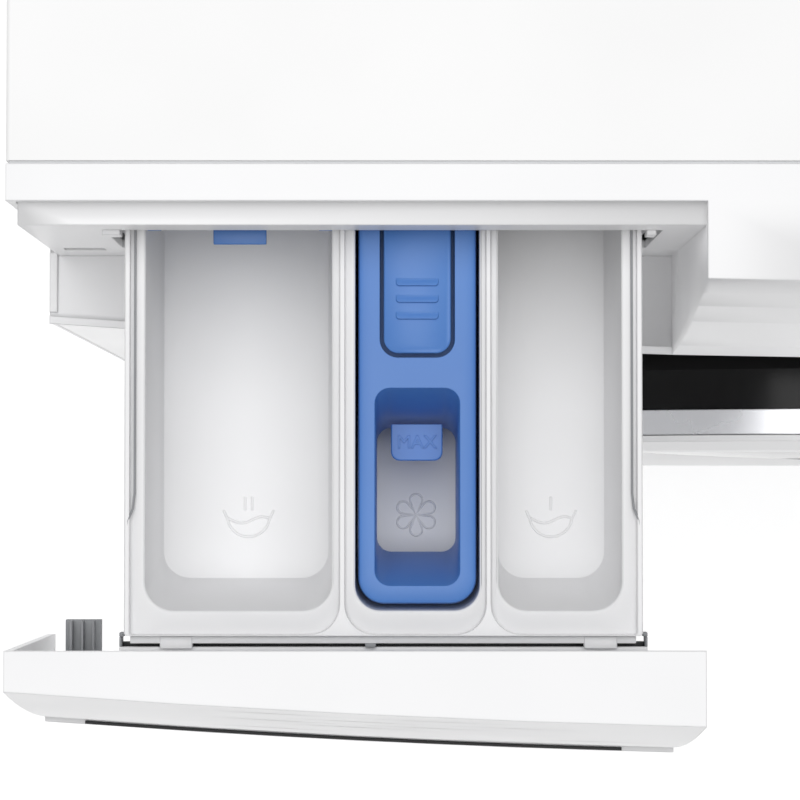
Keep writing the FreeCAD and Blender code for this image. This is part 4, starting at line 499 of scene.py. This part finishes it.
def fill_mark():
    """The hanging tongue in the well that marks how far to pour."""
    bm = bmesh.new()
    x = (MID - 7.8 * MM, MID + 7.8 * MM)
    y = (WELL[1] - 21.0 * MM, WELL[1] - 10.0 * MM)
    level = INSERT_TOP - 22 * MM
    corners = (0.3 * MM, 0.3 * MM, 2.6 * MM, 2.6 * MM)
    low = ring(bm, x, y, corners, level - 1.6 * MM)
    side = ring(bm, x, y, corners, level - 0.3 * MM)
    top = ring(bm, (x[0] + 0.3 * MM, x[1] - 0.3 * MM), (y[0] + 0.3 * MM, y[1]), corners, level)
    join(bm, [low, side, top])
    cap(bm, low)
    cap(bm, top)
    bmesh.ops.recalc_face_normals(bm, faces=bm.faces)
    piece("fill_mark", bm, PP_BLUE, "siphon_insert", replaced=False)
    return level, y


MARK_LEVEL, MARK_Y = fill_mark()


# ---------------------------------------------------------------- raised signs

def from_curve(curve, material, node, at=None):
    """A curve made a mesh, moved to its place, that rides with a node's body."""
    holder = bpy.data.objects.new(curve.name, curve)
    bpy.context.scene.collection.objects.link(holder)
    bpy.context.view_layer.update()
    mesh = bpy.data.meshes.new_from_object(holder)
    name = curve.name
    bpy.data.objects.remove(holder)
    if at:
        mesh.transform(Matrix.Translation(at))
    mesh.materials.clear()
    mesh.materials.append(material)
    made = bpy.data.objects.new(name, mesh)
    bpy.context.scene.collection.objects.link(made)
    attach(made, BODY_OF[node])


def lettering(name, text, height, at, material, node):
    """Raised letters as a mesh."""
    curve = bpy.data.curves.new(name, "FONT")
    curve.body = text
    curve.size = height
    curve.extrude = 0.175 * MM
    curve.bevel_depth = 0.06 * MM
    curve.align_x = "CENTER"
    curve.align_y = "CENTER"
    from_curve(curve, material, node, at)


lettering("mark_letters", "MAX", 5.6 * MM,
          Vector((MID, (MARK_Y[0] + MARK_Y[1]) / 2, MARK_LEVEL + 0.1 * MM)),
          PP_BLUE, "siphon_insert")


def raised_line(name, runs, thick, material, node):
    """Raised ribs that follow drawn lines; a run is (points, closed)."""
    curve = bpy.data.curves.new(name, "CURVE")
    curve.dimensions = "3D"
    curve.bevel_depth = thick
    curve.bevel_resolution = 2
    curve.use_fill_caps = True
    for points, closed in runs:
        spline = curve.splines.new("POLY")
        spline.points.add(len(points) - 1)
        spline.use_cyclic_u = closed
        for spot, place in zip(spline.points, points):
            spot.co = (*place, 1)
    from_curve(curve, material, node)


def arc(centre, radius, start, end, level, squash):
    """Points along part of an ellipse; squash is its depth against its width."""
    steps = 24
    spots = []
    for step in range(steps + 1):
        angle = math.radians(start + (end - start) * step / steps)
        spots.append((centre[0] + radius * math.cos(angle),
                      centre[1] + squash * radius * math.sin(angle), level))
    return spots


def tub_sign(name, centre, bars):
    """A wash tub holding water, with one bar for the prewash and two for the main wash."""
    level = BAY_DEEP + 0.1 * MM
    cx, cy = centre
    half = 7.6 * MM
    bowl = [(cx - half - 0.2 * MM, cy + 2.4 * MM, level)]
    bowl += arc((cx, cy + 0.6 * MM), 6.6 * MM, 190, 350, level, squash=0.98)
    bowl.append((cx + half + 0.2 * MM, cy + 2.4 * MM, level))
    water = [(cx + (-6.4 + 12.8 * step / 16) * MM,
              cy + (-0.6 + 1.0 * math.sin(math.pi * 2 * step / 16 + 2.6)) * MM, level)
             for step in range(17)]
    runs = [(bowl, False), (water, False)]
    for number in range(bars):
        x = cx + (number - (bars - 1) / 2) * 2.2 * MM
        runs.append(([(x, cy + 2.4 * MM, level), (x, cy + 6.6 * MM, level)], False))
    raised_line(name, runs, 0.42 * MM, PP_WHITE, "drawer_tray")


SIGN_Y = BAY_FRONT + 27 * MM
tub_sign("main_wash_sign", ((WASH[0] + WASH[1]) / 2 + 0.5 * MM, SIGN_Y), 2)
tub_sign("prewash_sign", ((PRE[0] + PRE[1]) / 2, SIGN_Y), 1)


def flower_sign():
    """A flower of six petals, for the softener."""
    level = BAY_DEEP + 0.1 * MM
    cx, cy = MID, SIGN_Y + 1.0 * MM
    runs = []
    for number in range(6):
        turn = math.radians(30 + 60 * number)
        petal = []
        for step in range(25):
            angle = math.radians(-120 + 240 * step / 24)
            out = 4.6 * MM + 1.9 * MM * math.cos(angle)
            aside = 1.9 * MM * math.sin(angle)
            petal.append((cx + out * math.cos(turn) - aside * math.sin(turn),
                          cy + out * math.sin(turn) + aside * math.cos(turn), level))
        petal.append((cx, cy, level))
        runs.append((petal, True))
    raised_line("softener_sign", runs, 0.34 * MM, PP_WHITE, "drawer_tray")


flower_sign()


# ---------------------------------------------------------------- drawer carrier

def at_drawer(x, y, z):
    """A point measured in millimetres from the tray's front left top corner."""
    return (tray_low.x + x * MM, tray_low.y + y * MM, TOP + z * MM)


def fittings(name, blocks, material, soft=0.25, node="drawer_carrier", replaced=False):
    """Small rounded blocks of one moulding; each is (low, high) in drawer millimetres."""
    bm = bmesh.new()
    for low, high in blocks:
        block(bm, at_drawer(*low), at_drawer(*high), soft * MM)
    bmesh.ops.recalc_face_normals(bm, faces=bm.faces)
    return piece(name, bm, material, node, replaced=replaced)


# the tray's front flange with the bars that run under it into the panel
fittings("front_flange", [((1.6, -2.3, -50), (151.0, -0.1, -3.0)),
                          ((8, -22, -47), (16, -2.0, -12)), ((72.4, -22, -47), (80.4, -2.0, -12)),
                          ((136.8, -22, -47), (144.8, -2.0, -12))], PP_WHITE, replaced=True)
# the rail behind the panel that the flange hooks over, and a black block between them that paints
# the shadow in the gap
fittings("handle_rail", [((-1.8, -4.9, -14), (154.6, -3.4, -5.3))], PP_WHITE)
fittings("carrier_painted_shadow", [((-1.7, -3.4, -16), (154.5, -2.2, -9.0))], PA_BLACK, 0.1)
# stepped brackets at both ends, made grey to paint the shade they sit in
fittings("end_brackets", [
    ((-1.8, -0.4, -10), (-0.4, 0.9, -5.4)), ((-1.8, -3.6, -12), (-1.1, -0.4, -5.5)),
    ((153.2, -0.4, -10), (154.6, 0.9, -5.4)), ((153.9, -3.6, -12), (154.6, -0.4, -5.5))], PP_GREY)
# two clips that bridge the gap, and a keeper in the middle
fittings("flange_clips", [((10.4, -3.9, -7), (20.0, -0.1, -2.6)),
                          ((135.6, -3.9, -7), (145.4, -0.1, -2.6))], PP_WHITE, 0.5)
fittings("flange_keeper", [((71.0, -3.5, -9), (74.2, -2.2, -3.1))], PP_GREY)
# the ribbed stop behind the panel's left end, made grey to paint the shade beneath the panel
fittings("ribbed_stop", [((-24.2, -10.0, -68), (-12.9, 2.3, -64.6)),
                         ((-22.7, -10.0, -65), (-21.7, 2.0, -61.0)),
                         ((-19.0, -10.0, -65), (-18.2, 2.0, -61.0)),
                         ((-15.5, -10.0, -65), (-14.8, 2.0, -61.0))], PP_GREY, 0.2)


# ---------------------------------------------------------------- handle panel

panel_low, panel_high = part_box("drawer_panel")
LIP_TOP = panel_low.z + 7 * MM
BOW = 4.0                             # the fascia's radius in plan
TOE = panel_low.y - panel_high.x ** 2 / (2 * BOW)


def handle_panel():
    """The drawer's front, its face set back a little behind the lip along its foot."""
    bm = copied("drawer_panel")
    for level in (LIP_TOP, LIP_TOP + 0.4 * MM):
        bmesh.ops.bisect_plane(bm, geom=bm.verts[:] + bm.edges[:] + bm.faces[:], dist=1e-7,
                               plane_co=(0, 0, level), plane_no=(0, 0, 1))
    for vert in bm.verts:
        ahead = vert.co.y - TOE - vert.co.x ** 2 / (2 * BOW)
        if vert.co.z > LIP_TOP + 0.3 * MM and ahead < 18 * MM:
            vert.co.y += 1.6 * MM * (1 - max(ahead, 0) / (18 * MM))
    bmesh.ops.recalc_face_normals(bm, faces=bm.faces)
    return piece("handle_panel", bm, ABS_WHITE, "drawer_panel", crease=30)


handle_panel()
# A black rib along the step at the panel's foot paints the shadow in the groove there.
groove = [(x * MM, TOE + (x * MM) ** 2 / (2 * BOW) + 1.35 * MM, LIP_TOP + 0.5 * MM)
          for x in range(-286, -113, 4)]
raised_line("grip_groove_painted_shadow", [(groove, False)], 0.55 * MM, PA_BLACK, "drawer_panel")


# ---------------------------------------------------------------- fascia

def fascia_shell():
    """The fascia, with the slot behind the handle panel that takes the ribbed stop."""
    bm = copied("fascia")
    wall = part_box("dispenser_housing")[0].y
    low = Vector(at_drawer(-25.0, 0, -69.0))
    high = Vector(at_drawer(-12.1, 0, -60.2))

    def near_slot(face):
        middle = face.calc_center_median()
        return wall - 4 * MM < middle.y < wall + 2 * MM and abs(face.normal.y) > 0.99

    across, upward = (1, 0, 0), (0, 0, 1)
    for place, normal in ((low.x, across), (high.x, across), (low.z, upward), (high.z, upward)):
        faces = [face for face in bm.faces if near_slot(face)]
        parts = list({item for face in faces for item in (*face.verts, *face.edges)}) + faces
        bmesh.ops.bisect_plane(bm, geom=parts, dist=1e-7, plane_no=normal,
                               plane_co=(place, 0, 0) if normal[0] else (0, 0, place))
        bm.normal_update()
    inside = [face for face in bm.faces if near_slot(face)
              and low.x < face.calc_center_median().x < high.x
              and low.z < face.calc_center_median().z < high.z]
    rims = [edge for edge in {edge for face in inside for edge in face.edges}
            if sum(face in inside for face in edge.link_faces) == 1]
    bmesh.ops.delete(bm, geom=inside, context="FACES_ONLY")
    bmesh.ops.bridge_loops(bm, edges=[edge for edge in rims if edge.is_valid])
    bmesh.ops.recalc_face_normals(bm, faces=bm.faces)
    return piece("fascia_shell", bm, ABS_WHITE, "fascia", crease=30)


fascia_shell()


# ---------------------------------------------------------------- painted shade of the tray side seams

def painted_seam_shade():
    """Thin grey strips along the small steps between the tray's outer walls and its rims, painting
    the shade that falls in them.
    """
    for name, x, out in (("left_seam_painted_shade", tray_low.x + 3.1 * MM, -1),
                         ("right_seam_painted_shade", tray_high.x - 3.1 * MM, 1)):
        # how far out, how far from the front (none for the rear end) and how deep
        points = [(x + out * aside * MM,
                   tray_low.y + ahead * MM if ahead else tray_high.y - 2 * MM,
                   TOP - deep * MM)
                  for aside, ahead, deep in ((0, None, 0.22), (0, 42, 0.22), (0.5, 37.5, 0.24),
                                             (2.0, 34, 0.30), (2.4, 30, 0.40))]
        raised_line(name, [(points, False)], 0.34 * MM, PP_GREY, "drawer_tray")


painted_seam_shade()


# ---------------------------------------------------------------- worktop seam

def seam_strip():
    """The pale strip that fills the joint between the worktop and the fascia."""
    bm = bmesh.new()
    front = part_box("fascia")[1]
    top_low, top_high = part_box("worktop")
    block(bm, (top_low.x + 1 * MM, front.y, top_low.z + 1 * MM),
          (top_high.x - 1 * MM, top_low.y, top_high.z - 0.5 * MM))
    bmesh.ops.recalc_face_normals(bm, faces=bm.faces)
    return piece("seam_strip", bm, PP_GREY_LIGHT, "fascia", replaced=False)


seam_strip()


# ---------------------------------------------------------------- softener flap

flap_low, flap_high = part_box("liquid_flap")


def flap():
    """The hanging flap for liquid detergent, lifted by a tapered grip, on two clip pins."""
    bm = bmesh.new()
    middle = (flap_low.x + flap_high.x) / 2
    level = (flap_low.z + flap_high.z) / 2
    pivot = flap_high.y - 36 * MM
    block(bm, (flap_low.x + 3 * MM, pivot - 0.6 * MM, level - 0.9 * MM),
          (flap_high.x - 3 * MM, flap_high.y, level + 0.9 * MM), 0.4 * MM)
    grip = block(bm, (middle - 7.9 * MM, flap_low.y, level - 0.9 * MM),
                 (middle + 7.9 * MM, pivot, level + 0.9 * MM), 0.35 * MM)
    for vert in grip:
        if vert.is_valid and vert.co.y < flap_low.y + 1.5 * MM:
            vert.co.x = middle + (vert.co.x - middle) * 0.88
    for x in (flap_low.x + 0.2 * MM, flap_high.x - 6.2 * MM):
        block(bm, (x, pivot - 3.2 * MM, level - 1.5 * MM),
              (x + 6 * MM, pivot + 1.8 * MM, level + 1.5 * MM),
              0.4 * MM)
    bmesh.ops.recalc_face_normals(bm, faces=bm.faces)
    return piece("flap_moulding", bm, PP_BLUE, "liquid_flap")


flap()


# ---------------------------------------------------------------- stage, light and camera

def stage():
    """A pale floor that runs out of sight, in even light from above."""
    bm = bmesh.new()
    bmesh.ops.create_circle(bm, cap_ends=True, segments=96, radius=14)
    mesh = bpy.data.meshes.new("studio_floor")
    bm.to_mesh(mesh)
    bm.free()
    floor = bpy.data.objects.new("studio_floor", mesh)
    bpy.context.scene.collection.objects.link(floor)
    made, tree, shader, coords = surface("studio_floor_paint", {
        "Roughness": 0.9, "Specular IOR Level": 0.1, "Emission Color": (1, 1, 1, 1),
        "Emission Strength": 0.45})
    tree.links.new(shade(tree, coords, 900, "#F6F6F6", "#F9F9F9").outputs["Color"],
                   shader.inputs["Base Color"])
    mesh.materials.append(made)
    world = bpy.data.worlds.new("studio_air")
    bpy.context.scene.world = world
    world.use_nodes = True
    world.node_tree.nodes["Background"].inputs["Color"].default_value = (1, 1, 1, 1)
    world.node_tree.nodes["Background"].inputs["Strength"].default_value = 0.42
    bpy.context.scene.view_settings.view_transform = "Standard"


def lamp(name, place, aim, size, power):
    data = bpy.data.lights.new(name, "AREA")
    data.shape = "DISK"
    data.size = size
    data.energy = power
    made = bpy.data.objects.new(name, data)
    made.location = place
    made.rotation_euler = (Vector(aim) - Vector(place)).to_track_quat("-Z", "Y").to_euler()
    bpy.context.scene.collection.objects.link(made)


def camera():
    """Straight above the open drawer, leaning a little to the rear."""
    data = bpy.data.cameras.new("overhead")
    data.sensor_width = 36
    data.lens = 133.9
    data.clip_start = 0.05
    data.clip_end = 60
    made = bpy.data.objects.new("overhead", data)
    made.location = (-0.187, -0.3326, 1.700)
    made.rotation_euler = (math.radians(1.925), math.radians(-0.116), 0)
    bpy.context.scene.collection.objects.link(made)
    bpy.context.scene.camera = made


stage()
lamp("overhead_softbox", (-0.2, 0.1, 3.2), (-0.1, -0.2, 0.8), 2.6, 43)
lamp("front_softbox", (0.6, -3.4, 1.9), (0, -0.2, 0.6), 2.2, 3)
camera()
